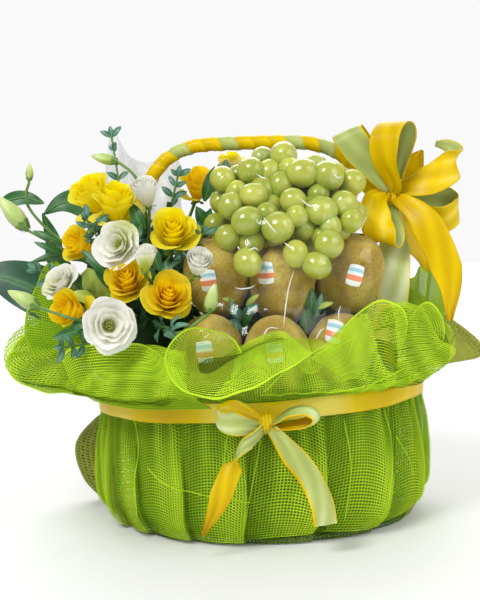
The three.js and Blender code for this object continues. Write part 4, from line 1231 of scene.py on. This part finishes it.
def strip(
    heap, course, across, taper, width, knot,
    turn=None, flip=False, loop=False, rounding=0.0, rim=1, gold_from=2.0, painted_lift=0.0,
):
    """A flat ribbon from its knot, gold on one face and sage on the other, with gold woven edges on both.
    A loop comes back to the knot, and its edges turn back sooner than its middle. Its length is returned."""
    steps = 56
    course = ribbon_course(course, np.array(knot, float), loop)
    path = spline(course, steps)
    along = tangents(path)
    t = np.linspace(0, 1, steps)
    opened = ribbon_opening(t, taper)
    start, end = np.array(across, float)
    side = np.array([unit(start * (1 - k) + end * k) for k in t])
    side = units(side - along * np.sum(side * along, 1, keepdims=True))
    if turn is not None:
        twist = math.pi * clamp((t - turn) / 0.24 + 0.5)
        side = side * np.cos(twist)[:, None] + np.cross(along, side) * np.sin(twist)[:, None]
        opened = opened * (1 - 0.5 * np.sin(twist))
    places = np.array([-1, -0.92, -0.75, -0.5, -0.25, 0, 0.25, 0.5, 0.75, 0.92, 1])
    n = len(places)
    half = (0.5 * width * opened)[:, None]
    folds = np.cos(7.5 * places)
    lift = 0.1 * half * (1 - places**2) + clamp(1 - opened)[:, None] * 1.6 * folds
    base = path[:, None]
    if loop:
        base = base - (rounding * places**2)[:, None] * (base - path[0])
    normal = np.cross(along, side)[:, None]
    middle = base + places[:, None] * (half * side)[:, None] + lift[..., None] * normal
    thick = 0.5 * RIBBON_THICK * normal
    # Painted light and shade on the ribbon: highlight streaks along it, shade where its ends are gathered,
    # and a painted lift for a strip in shadow.
    painted_sheen = 0.3 * np.sin(9 * t[:, None] + 2.2 * places + course[1][0]) * np.cos(3.1 * places + 4 * t[:, None])
    painted_light = 0.55 + painted_lift + painted_sheen - 0.9 * (1 - opened)[:, None] * (0.3 + 0.5 * folds**2)
    faces, on_sage = ribbon_faces(steps, n, rim, flip, gold_from)
    cap = np.array([[k, k + 1, 2 * n - 2 - k, 2 * n - 1 - k] for k in range(n - 1)])
    caps = np.vstack([cap[:, ::-1], cap + (steps - 1) * 2 * n])
    slots = np.concatenate([on_sage, np.zeros(len(caps))]).astype(int)
    points = np.concatenate([middle + thick, (middle - thick)[:, ::-1]], 1)
    heap.add(points, np.vstack([faces, caps]), slots, clamp(np.concatenate([painted_light, painted_light[:, ::-1]], 1)))
    return path_length(path)


def build_waist_band():
    """The ribbon round the waist, creased where it is pulled."""
    a = turn_of(180)
    inner = WAIST["radius"] + 0.6 + WAIST_RIBBON["clear"]
    pull = 0.25 * np.sin(a * 23) + 0.2 * np.sin(a * 41 + 1)
    level = WAIST["height"] + WAIST_RIBBON["lift"] + WAIST["slant"] * inner * np.cos(a) + 0.5 * np.sin(a * 9)
    section = np.array([(0, -1), (0.9, -1), (1.2, -0.5), (1.3, 0), (1.2, 0.5), (0.9, 1), (0, 1)])
    out, up = section[:, 0], section[:, 1] * WAIST_RIBBON["width"] / 2
    band = polar(inner + out + pull[:, None], a[:, None], level[:, None] + up, OVAL)
    shade = 0.72 + 0.25 * np.sin(a * 7 + 1) * np.cos(a * 3)
    heap = Heap()
    heap.grid(band, 0, np.repeat(shade, len(section)), closed=True, wrapped=True)
    made = heap.build("waist_band", [gold], "waist_ribbon", "gold_satin")


def build_bow(prefix, bow, width, knot, rounding):
    for name, spec in bow.items():
        heap = Heap()
        length = strip(heap, width=width, knot=knot[0], loop="loop" in name, rounding=rounding, **spec)
        made = heap.build(f"{prefix}_{name}_ribbon", [gold, sage], f"{prefix}_{name}", "gold_satin")


def build_knot(name, middle, size):
    """The ribbon's turn round the middle of a bow, creased across."""
    points, faces = ball((0, 0, 0), (1, 1, 1), 36, 20)
    creases = 1 + 0.07 * np.sin(7 * points[:, 0] * 2.2 + 2 * points[:, 2])
    heap = Heap()
    # The tint is painted shade and light: darker in the creases' troughs, lighter on their ridges.
    heap.add(points * creases[:, None] * size + middle, faces, 0, 0.5 + 4 * (creases - 1))
    heap.build(f"{name}_ribbon", [gold], name, "gold_satin")


# Fruit
def kiwi_points(spec, around, down):
    """Points of a kiwi as a grid, and the way that its stalk end faces."""
    a = turn_of(around)[:, None]
    b = np.radians(np.linspace(-89.9, 89.9, down))
    up = KIWI["length"] / 2 * np.sin(b)
    uneven = 1 + 0.012 * np.sin(3 * a + up / 9 + spec["at"][0]) + 0.008 * np.sin(5 * a - up / 6)
    out = KIWI["radius"] * np.cos(b) ** KIWI["blunt"] * uneven
    side, front = np.radians(spec["lean"])
    faces = (math.sin(side), -math.sin(front), math.cos(side))
    return turned_to(polar(out, a, up), faces) + spec["at"], faces


def build_kiwis():
    for number, spec in enumerate(KIWIS, 1):
        points, faces = kiwi_points(spec, 56, 36)
        heap = Heap()
        heap.grid(points, closed=True)
        leans_back = spec["lean"][1] > 40
        for end, size in [(-1, 2.4)] if leans_back else [(1, 3.2), (-1, 2.4)]:
            middle = np.array(spec["at"]) + end * unit(faces) * (KIWI["length"] / 2 - 0.6)
            knob, knob_faces = ball((0, 0, 0), (size, size, 1.5), 14, 8)
            heap.add(turned_to(knob, faces) + middle, knob_faces, 1)
        made = heap.build(f"kiwi_{number}_fruit", [kiwi_skin, kiwi_ends], f"kiwi_{number}", "kiwi_skin")
        build_label(number, made, *LABELS[number - 1])


def build_label(number, fruit, x, z, tilt):
    """A rounded label laid on the skin: white, with a pale-blue band and a coral one."""
    polygons = [list(polygon.vertices) for polygon in fruit.data.polygons]
    tree = BVHTree.FromPolygons([vertex.co for vertex in fruit.data.vertices], polygons)
    count = 13
    even = np.linspace(-1, 1, count)
    s, t = np.meshgrid(even, even, indexing="ij")
    px = s * np.sqrt(1 - 0.22 * t**2) * LABEL_SIZE[0] / 2
    pz = t * np.sqrt(1 - 0.22 * s**2) * LABEL_SIZE[1] / 2
    c, n = math.cos(math.radians(tilt)), math.sin(math.radians(tilt))
    wide, tall = x + px * c - pz * n, z + px * n + pz * c
    points = []
    for a, b in zip(wide.ravel(), tall.ravel()):
        hit, normal, _, _ = tree.ray_cast(Vector((a * MM, -0.4, b * MM)), Vector((0, 1, 0)))
        points.append(np.array(hit) / MM + np.array(normal) * LABEL_CLEAR)
    faces = grid_faces(count, count)
    row = (faces[:, 0] % count) / (count - 1)
    slot = np.where((row > 0.2) & (row < 0.42), 2, np.where((row > 0.66) & (row < 0.8), 1, 0))
    heap = Heap()
    heap.add(points, faces, slot)
    heap.build(f"kiwi_{number}_label", [label_white, label_blue, label_coral])


def all_grapes(random):
    """The grapes that show, and more in between on the core."""
    grapes = [(np.array([x, y, z], float), r) for x, y, z, r in GRAPES]
    for middle, half in GRAPE_CORES * GRAPE_TRIES:
        way = unit(random.normal(size=3))
        radius = random.uniform(9, 11.5)
        place = np.array(middle) + way * (np.array(half) - random.uniform(0.3, 1) * radius)
        if place[2] < 236 or (place[2] < 262 and place[1] > -60):
            continue
        if all(np.linalg.norm(place - other) > 0.7 * (radius + r) for other, r in grapes):
            grapes.append((place, radius))
    return grapes


def build_grapes():
    random = np.random.default_rng(SEEDS["grapes"])
    heap = Heap()
    # The dark cores stand for the shade between the grapes.
    for middle, half in GRAPE_CORES:
        heap.add(*ball(middle, np.array(half) * 0.62, 24, 14), 1)
    for place, radius in all_grapes(random):
        points, faces = ball((0, 0, 0), (radius, radius, radius * random.uniform(1.06, 1.16)), 28, 18)
        way = unit(random.normal(size=3) + (0, -0.5, -0.5))
        heap.add(turned_to(points, way) + place, faces, 0, random.uniform(0, 1))
        hub = np.array([25, place[1] + 45, 300])
        heap.grid(tube([place, place + unit(hub - place) * (radius + 7)], 0.9, 4, 6), 2, closed=True)
    heap.build("grape_bunch", [grape_skin, grape_shade_core, grape_stalk], "grapes", "grape_skin")


def cells_of(values, line, last):
    """The numbers of the cells of an even line that hold these values."""
    return np.clip(np.round((values - line[0]) / (line[1] - line[0])).astype(int), 0, last)


def fruit_front(x, z):
    """How far forward the fruit stands at each place of a grid seen from the front."""
    front = np.full(x.shape, float(FILM["back"]))
    for gx, gy, gz, r in GRAPES:
        inside = np.maximum(r * r - (x - gx) ** 2 - (z - gz) ** 2, 0)
        front = np.where(inside > 0, np.minimum(front, gy - np.sqrt(inside)), front)
    for spec in KIWIS:
        points = kiwi_points(spec, 48, 30)[0].reshape(-1, 3)
        near = points[points[:, 1] < spec["at"][1] + 4]
        i = cells_of(near[:, 0], x[:, 0], len(x) - 1)
        j = cells_of(near[:, 2], z[0], len(z[0]) - 1)
        np.minimum.at(front, (i, j), near[:, 1])
    return front


def grown(mask, steps):
    """A mask, made wider by so many cells."""
    for _ in range(steps):
        wider = mask.copy()
        wider[1:] |= mask[:-1]
        wider[:-1] |= mask[1:]
        wider[:, 1:] |= mask[:, :-1]
        wider[:, :-1] |= mask[:, 1:]
        mask = wider
    return mask


def build_film():
    """Clear film drawn tight over the fruit: it rests on what stands out and spans what lies between."""
    across, up = FILM["cells"]
    x, z = np.meshgrid(np.linspace(*FILM["wide"], across), np.linspace(*FILM["tall"], up), indexing="ij")
    front = fruit_front(x, z)
    sheet = front.copy()
    for _ in range(FILM["rounds"]):
        mean = (sheet[:-2, 1:-1] + sheet[2:, 1:-1] + sheet[1:-1, :-2] + sheet[1:-1, 2:]) / 4
        sheet[1:-1, 1:-1] = np.minimum(front[1:-1, 1:-1], mean)
    creases = np.abs(np.sin(x / 5.3 + 1.4 * np.sin(z / 19))) * np.abs(np.sin(z / 13 + 0.8 * np.sin(x / 9)))
    points = np.stack([x, sheet - 1.4 - 0.9 * creases**2, z], -1)
    inside = np.zeros(x.shape, bool)
    inside[FILM_TRIM[0] : -FILM_TRIM[0], FILM_TRIM[1] :] = True
    kept = grown(front < FILM["back"] - 1, FILM["margin"]) & inside
    faces = grid_faces(*x.shape)
    heap = Heap()
    heap.add(points, faces[kept.ravel()[faces].all(1)])
    for course in FILM_GLINTS:
        add_painted_glint(heap, course, points)
    made = heap.build("fruit_film", [clear_film, film_glint], slot="tissue")


def add_painted_glint(heap, course, film):
    """A painted highlight: a white strip that lies on the film along a crease seen from the front, pointed at
    both ends.
    """
    line = spline([(x, 0, z) for x, z in course], 30)
    side = np.cross(tangents(line), (0, 1, 0))
    i = cells_of(line[:, 0], film[:, 0, 0], len(film) - 1)
    j = cells_of(line[:, 2], film[0, :, 2], len(film[0]) - 1)
    line[:, 1] = smoothed(film[i, j, 1], 3) - 1
    half = 0.5 * GLINT_WIDTH * np.sin(math.pi * np.linspace(0.03, 0.97, 30)) ** 0.6
    rows = [line + side * (half * k)[:, None] - np.array([0, 0.4 * (k == 0), 0]) for k in (-1, 0, 1)]
    heap.grid(np.stack(rows, 1), 1)


# Flowers
def petal(way, width, base, reach, top, curl, ruffle, phase, rows=10, columns=11, rounded=0.16):
    """One petal as a grid: way round the axis, width in degrees, and radius and height at base and rim."""
    s = np.linspace(-1, 1, columns)[:, None]
    t = np.linspace(0, 1, rows)
    tt = t * (1 - rounded * np.abs(s) ** 2.6)
    spread = np.radians(width) * s * (0.4 + 0.6 * np.sin(math.pi * 0.58 * t))
    edge = clamp((tt - 0.62) / 0.38)
    ripple = ruffle * reach * tt**2
    out = base[0] + (reach - base[0]) * tt**0.8 + curl * reach * edge**2 + ripple * np.sin(5.5 * s + phase)
    up = base[1] + (top - base[1]) * tt**1.15 - 0.75 * curl * reach * edge**2.2
    up = up + 0.7 * ripple * np.cos(7 * s + 1.7 * phase)
    return polar(out, np.radians(way) + spread, up), np.broadcast_to(t, (columns, rows))


def flower_head(heap, spec, whorls, random, rounded, uneven):
    """Petals in rings from the outside in."""
    size = spec["radius"]
    way = random.uniform(0, 360)
    for count, width, reach, top, curl, ruffle, base in whorls:
        for _ in range(count):
            way += 360 / count + random.uniform(-12, 12)
            shape, tint = petal(
                way,
                width * random.uniform(0.9, 1.1),
                (0.1 * size, base * size),
                reach * size * random.uniform(1 - uneven, 1 + uneven),
                (top + random.uniform(-0.8, 0.8) * uneven) * size,
                curl * random.uniform(0.7, 1.3),
                ruffle,
                random.uniform(0, 6),
                rounded=rounded,
            )
            points = turned_to(shape, spec["faces"])
            towards = points @ spec.get("green", (0, 0, 0)) / size
            # The tint is darker towards each petal's base and on the inner petals: the petals' own deeper
            # colour at the base, with painted shade deep in the flower.
            depth = clamp(tint * (0.45 + 0.55 * reach) + 0.1 - clamp(towards))
            heap.grid(points + spec["at"], 0, depth)
        way += GOLDEN_ANGLE


def add_heart(heap, spec):
    """The cluster in an open flower's middle: one green tip with pale ones round it."""
    for k in range(7):
        way = math.radians(GOLDEN_ANGLE * k)
        middle = (2.4 * math.cos(way) * (k > 0), 2.4 * math.sin(way) * (k > 0), -0.2 * spec["radius"])
        heart, faces = ball(middle, (1.1, 1.1, 4), 10, 8)
        heap.add(turned_to(heart, spec["faces"]) + spec["at"], faces, 0 if k else 1, 0.0)


def add_sepals(heap, spec, drop):
    """Narrow green sepals under a head, and the swelling that they leave."""
    size = spec["radius"]
    for k in range(5):
        base = (0.08 * size, drop * size)
        shape, _ = petal(72 * k + 20, 16, base, 0.5 * size, (drop + 0.02) * size, 0.1, 0, k, 6, 3)
        heap.grid(turned_to(shape, spec["faces"]) + spec["at"], 1, 0.3)
    cup, faces = ball((0, 0, drop * size), (0.24 * size, 0.24 * size, 0.22 * size), 14, 8)
    heap.add(turned_to(cup, spec["faces"]) + spec["at"], faces, 1, 0.2)


def add_stem(heap, spec, drop):
    """A stem from under the head down into the greenery."""
    back = unit(spec["faces"]) * drop * spec["radius"]
    start = spec["at"] + back
    root = spec["root"] if "root" in spec else start + 0.25 * (STEM_HUB - start)
    bend = start + back * 0.4
    bend = bend + 0.35 * (np.array(root) - bend)
    heap.grid(tube([start, bend, root], 1.5, 14, 8), 1, 0.4, closed=True)


def build_bloom(node, spec, whorls, random, looks, slot, drops, rounded=0.16, uneven=0.08):
    """A flower on its stem. The drops are how far below its head, in radii, the sepals and the stem start."""
    heap = Heap()
    flower_head(heap, spec, whorls, random, rounded, uneven)
    if whorls is OPEN_WHORLS:
        add_heart(heap, spec)
    add_sepals(heap, spec, drops[0])
    add_stem(heap, spec, drops[1])
    heap.build(f"{node}_bloom", looks, node, slot)


def build_bud(node, spec):
    """A long green bud of twisted petals on its stem, in a calyx."""
    heap = Heap()
    neck, tip = np.array(spec["stem"][-1], float), np.array(spec["tip"], float)
    axis = tip - neck
    length = np.linalg.norm(axis)
    a = turn_of(20)[:, None]
    t = np.linspace(0, 1, 22)
    out = spec["radius"] * np.sin(math.pi * t**0.8) ** 0.75 * (1 + 0.1 * np.sin(4 * a + 5 * t))
    heap.grid(turned_to(polar(out, a, t * length), axis) + neck, 0, t + 0 * a, closed=True)
    radius = spec["radius"]
    for k in range(5):
        leafy, _ = petal(72 * k, 24, (0.4 * radius, 0), radius, 0.24 * length, 0.06, 0, k, 7, 3)
        heap.grid(turned_to(leafy, axis) + neck, 1, 0.3)
    heap.grid(tube([*spec["stem"], neck + 0.1 * axis], 1.3, 30, 8), 1, 0.5, closed=True)
    heap.build(f"{node}_green", [bud_green, stem_green], node, "bud_green")


def build_flowers():
    random = np.random.default_rng(SEEDS["flowers"])
    for number, spec in enumerate(ROSES, 1):
        whorls = CUP_WHORLS if number in CUP_ROSES else ROSE_WHORLS
        looks = [warm_petal if number in WARM_ROSES else rose_petal, stem_green]
        build_bloom(f"rose_{number}", spec, whorls, random, looks, "rose_petal", (-0.97, -1.05), 0.3, 0.1)
    for number, spec in enumerate(OPEN_LISIANTHUS, 1):
        node, looks = f"lisianthus_open_{number}", [white_petal, bud_green]
        build_bloom(node, spec, OPEN_WHORLS, random, looks, "white_petal", (-0.7, -0.85))
    for number, spec in enumerate(CLOSED_LISIANTHUS, 1):
        node, looks = f"lisianthus_closed_{number}", [white_petal, stem_green]
        build_bloom(node, spec, CLOSED_WHORLS, random, looks, "white_petal", (-1.15, -1.3), 0.14, 0.03)
    for number, spec in enumerate(BUDS, 1):
        build_bud(f"bud_{number}", spec)


# Leaves
def leaf_shape(course, width, faces, steps):
    """Points and tint of a leaf: five strips across, folded at the midrib and wavy at its edges."""
    path = spline(course, steps)
    along = tangents(path)
    side = units(np.cross(along, unit(faces)))
    up = np.cross(side, along)
    t = np.linspace(0, 1, steps)[:, None]
    half = 0.5 * width * np.maximum(np.sin(math.pi * np.minimum(0.04 + 0.95 * t, 1)) ** LEAF["point"], 0.03)
    places = np.array([-1, -0.55, -0.06, 0.06, 0.55, 1])
    wavy = LEAF["wave"] * width * np.sin(11 * t + 1) * places * np.abs(places)
    lift = np.abs(places) * LEAF["fold"] * half + wavy
    points = path[:, None] + places[:, None] * (half * side)[:, None] + lift[..., None] * up[:, None]
    tint = np.where(np.abs(places) < 0.1, 1.0, 0.35 + 0.3 * np.abs(places))
    return points, np.broadcast_to(tint, (steps, len(places)))


def add_leaf(heap, slot, foot, tip, width, faces, droop=0.15, steps=8):
    foot, tip = np.asarray(foot, float), np.asarray(tip, float)
    middle = (foot + tip) / 2 + unit(faces) * droop * np.linalg.norm(tip - foot)
    points, tint = leaf_shape([foot, middle, tip], width, faces, steps)
    heap.grid(points, slot, tint)


def build_broad_leaves():
    for number, spec in enumerate(BROAD_LEAVES, 1):
        points, tint = leaf_shape(spec["course"], spec["width"], spec["faces"], 40)
        rib = np.asarray(spec["course"], float) + unit(spec["faces"]) * 0.3
        heap = Heap()
        heap.grid(points, 0, tint)
        heap.grid(tube(rib, 0.9, 30, 6), 0, 1.0, closed=True)
        look = dark_leaf if number == 1 else filler_leaf
        heap.build(f"broad_leaf_{number}_blade", [look], f"broad_leaf_{number}", "leaf")


def add_sprig(heap, spec, random):
    """A stem with pairs of small leaves and one at its tip."""
    foot, tip = np.array(spec["foot"], float), np.array(spec["tip"], float)
    axis = tip - foot
    way = unit(axis)
    front = unit(np.array([0, -1, 0.2]) - way * np.dot((0, -1, 0.2), way))
    side = np.cross(way, front)
    heap.grid(tube([foot, (foot + tip) / 2 + front * 3, tip], 1.0, 16, 6), 1, 0.4, closed=True)
    for i in range(spec["pairs"]):
        share = 0.3 + 0.68 * (i + 1) / spec["pairs"]
        start = foot + axis * share
        turn = math.radians(random.uniform(0, 180))
        across = math.cos(turn) * side + math.sin(turn) * front
        for sign in (-1, 1):
            reach = unit(across * sign * 0.9 + way * random.uniform(0.4, 0.8))
            length = spec["leaf"] * random.uniform(0.8, 1.05) * (1 - 0.25 * share)
            faces = unit(front + 0.5 * way + 0.3 * across * sign)
            add_leaf(heap, 0, start, start + reach * length, length * 0.42, faces)
    add_leaf(heap, 0, tip - way * 2, tip + way * spec["leaf"] * 0.5, spec["leaf"] * 0.3, front)


def in_free_space(start, tip):
    """Whether a leaf would stand in the gap under the handle or in the space behind the fruit."""
    places = start + (tip - start) * np.linspace(0, 1, 5)[:, None]
    return any(np.any(np.all((places > low) & (places < high), 1)) for low, high in np.array(FREE_SPACES))


def scatter_on_mass(heap, random, middle, half, count):
    """Leaves that stand out of a mass of foliage."""
    for _ in range(count):
        way = unit(random.normal(size=3))
        if way[2] < -0.35:
            continue
        start = np.array(middle) + way * (np.array(half) - 9)
        reach = unit(way + 0.8 * random.normal(size=3) * (1, 1, 0.6))
        length = random.uniform(14, 24)
        tip = start + reach * length
        if in_free_space(start, tip):
            continue
        slot = 2 if random.uniform() < 0.7 else 0
        width = length * random.uniform(0.28, 0.42)
        add_leaf(heap, slot, start, tip, width, unit(way + 0.4 * reach), 0.1, 7)


def scatter_on_bed(heap, random):
    """Leaves that lie over the bed."""
    for _ in range(BED_LEAVES):
        angle, far = random.uniform(0, 2 * math.pi), math.sqrt(random.uniform(0.15, 1)) * 120
        start = polar(far, angle, BED_HEIGHT + 1, OVAL)
        reach = np.array([*random.normal(size=2), random.uniform(0.2, 1.2)])
        length = random.uniform(16, 26)
        tip = start + unit(reach) * length
        if not in_free_space(start, tip):
            add_leaf(heap, 2, start, tip, length * 0.36, (0.1 * reach[0], -0.4, 1), 0.1, 7)


def build_greenery():
    """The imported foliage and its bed, the sprigs, and all single leaves."""
    random = np.random.default_rng(SEEDS["greenery"])
    heap = Heap()
    for middle, half, _ in FOLIAGE:
        points, faces = ball(middle, np.array(half) * 0.88, 40, 24)
        rough = 1 + 0.05 * np.sin(points[:, 0] / 3) * np.sin(points[:, 1] / 3.4) * np.sin(points[:, 2] / 3.1)
        heap.add((points - middle) * rough[:, None] + middle, faces, 3)
    a = turn_of(64)[:, None]
    r, z = spline(BED, 40).T
    bumps = 1.2 * np.sin(a * 17 + r / 4) * np.sin(z / 5 + r / 6)
    heap.add(polar(r, a, z + bumps, OVAL), grid_faces(64, 40, closed=True)[:, ::-1], 3)
    for spec in SPRIGS:
        add_sprig(heap, spec, random)
    for mass in FOLIAGE:
        scatter_on_mass(heap, random, *mass)
    scatter_on_bed(heap, random)
    for kind, foot, tip, width in SINGLE_LEAVES:
        add_leaf(heap, kind, foot, tip, width, (0.1, -1, 0.3), 0.12)
    looks = [small_leaf, stem_green, filler_leaf, moss, pale_leaf]
    heap.build("foliage_and_sprigs", looks, "greenery", "foliage")


def build_tissue():
    """A thin piece of film that stands crumpled behind the flowers, with a peak at the left."""
    u, v = np.meshgrid(np.linspace(0, 1, 56), np.linspace(0, 1, 44), indexing="ij")
    top, foot = spline(TISSUE["top"], 56), spline(TISSUE["foot"], 56)
    grid = foot[:, None] + (top - foot)[:, None] * v[..., None]
    folds = 2.2 * np.sin(19 * u + 6 * v) + 1.5 * np.sin(34 * u - 9 * v)
    grid[..., 1] += folds + 1.3 * np.abs(np.sin(26 * u + 13 * v))
    heap = Heap()
    heap.grid(grid)
    made = heap.build("tissue_film", [film_haze], "tissue", "tissue", smooth=False)


# Stage
def build_camera():
    data = bpy.data.cameras.new("camera")
    data.lens = LENS
    data.sensor_width = 36
    camera = linked("camera", data)
    p, r = math.radians(PITCH), math.radians(ROLL)
    forward = Vector((0, math.cos(p), math.sin(p)))
    level_up = Vector((0, -math.sin(p), math.cos(p)))
    level_right = Vector((1, 0, 0))
    right = level_right * math.cos(r) - level_up * math.sin(r)
    up = level_up * math.cos(r) + level_right * math.sin(r)
    camera.matrix_world = Matrix.Translation(CAMERA) @ Matrix((right, up, -forward)).transposed().to_4x4()
    bpy.context.scene.camera = camera


def build_floor():
    mesh = bpy.data.meshes.new("floor")
    mesh.from_pydata([(-4, -4, 0), (4, -4, 0), (4, 4, 0), (-4, 4, 0)], [], [(0, 1, 2, 3)])
    mesh.materials.append(new_material("floor_pale", "#f1f1f1", 0.9))
    floor = linked("floor", mesh)
    floor.location.z = -0.0005


def build_world():
    """A grey that grows lighter towards the horizon behind the basket."""
    world = bpy.data.worlds.new("studio")
    bpy.context.scene.world = world
    world.use_nodes = True
    split, glow = add_node(world, "SeparateXYZ"), add_node(world, "MapRange")
    for socket, value in (("From Min", 0.6), ("From Max", 0.9), ("To Min", 0.42), ("To Max", 0.95)):
        glow.inputs[socket].default_value = value
    background = world.node_tree.nodes["Background"]
    background.inputs["Color"].default_value = (1, 1, 1, 1)
    link(world, add_node(world, "TexCoord"), "Generated", split, "Vector")
    link(world, split, "Y", glow, "Value")
    link(world, glow, "Result", background, "Strength")


def build_lights():
    for name, place, aim, power, size in LIGHTS:
        data = bpy.data.lights.new(name, "AREA")
        data.energy = power
        data.size = size
        lamp = linked(name, data)
        lamp.location = place
        lamp.rotation_euler = (Vector(aim) - Vector(place)).to_track_quat("-Z", "Y").to_euler()
    bpy.context.scene.view_settings.view_transform = "Standard"


build_tub()
build_handle()
build_wrap()
build_waist_band()
build_bow("front_bow", FRONT_BOW, FRONT_BOW_WIDTH, FRONT_KNOT, 0.16)
build_bow("handle_bow", HANDLE_BOW, BOW_WIDTH, HANDLE_KNOT, 0.03)
build_knot("front_bow_knot", *FRONT_KNOT)
build_knot("handle_bow_knot", *HANDLE_KNOT)
build_kiwis()
build_grapes()
build_film()
build_flowers()
build_broad_leaves()
build_greenery()
build_tissue()
build_camera()
build_floor()
build_world()
build_lights()
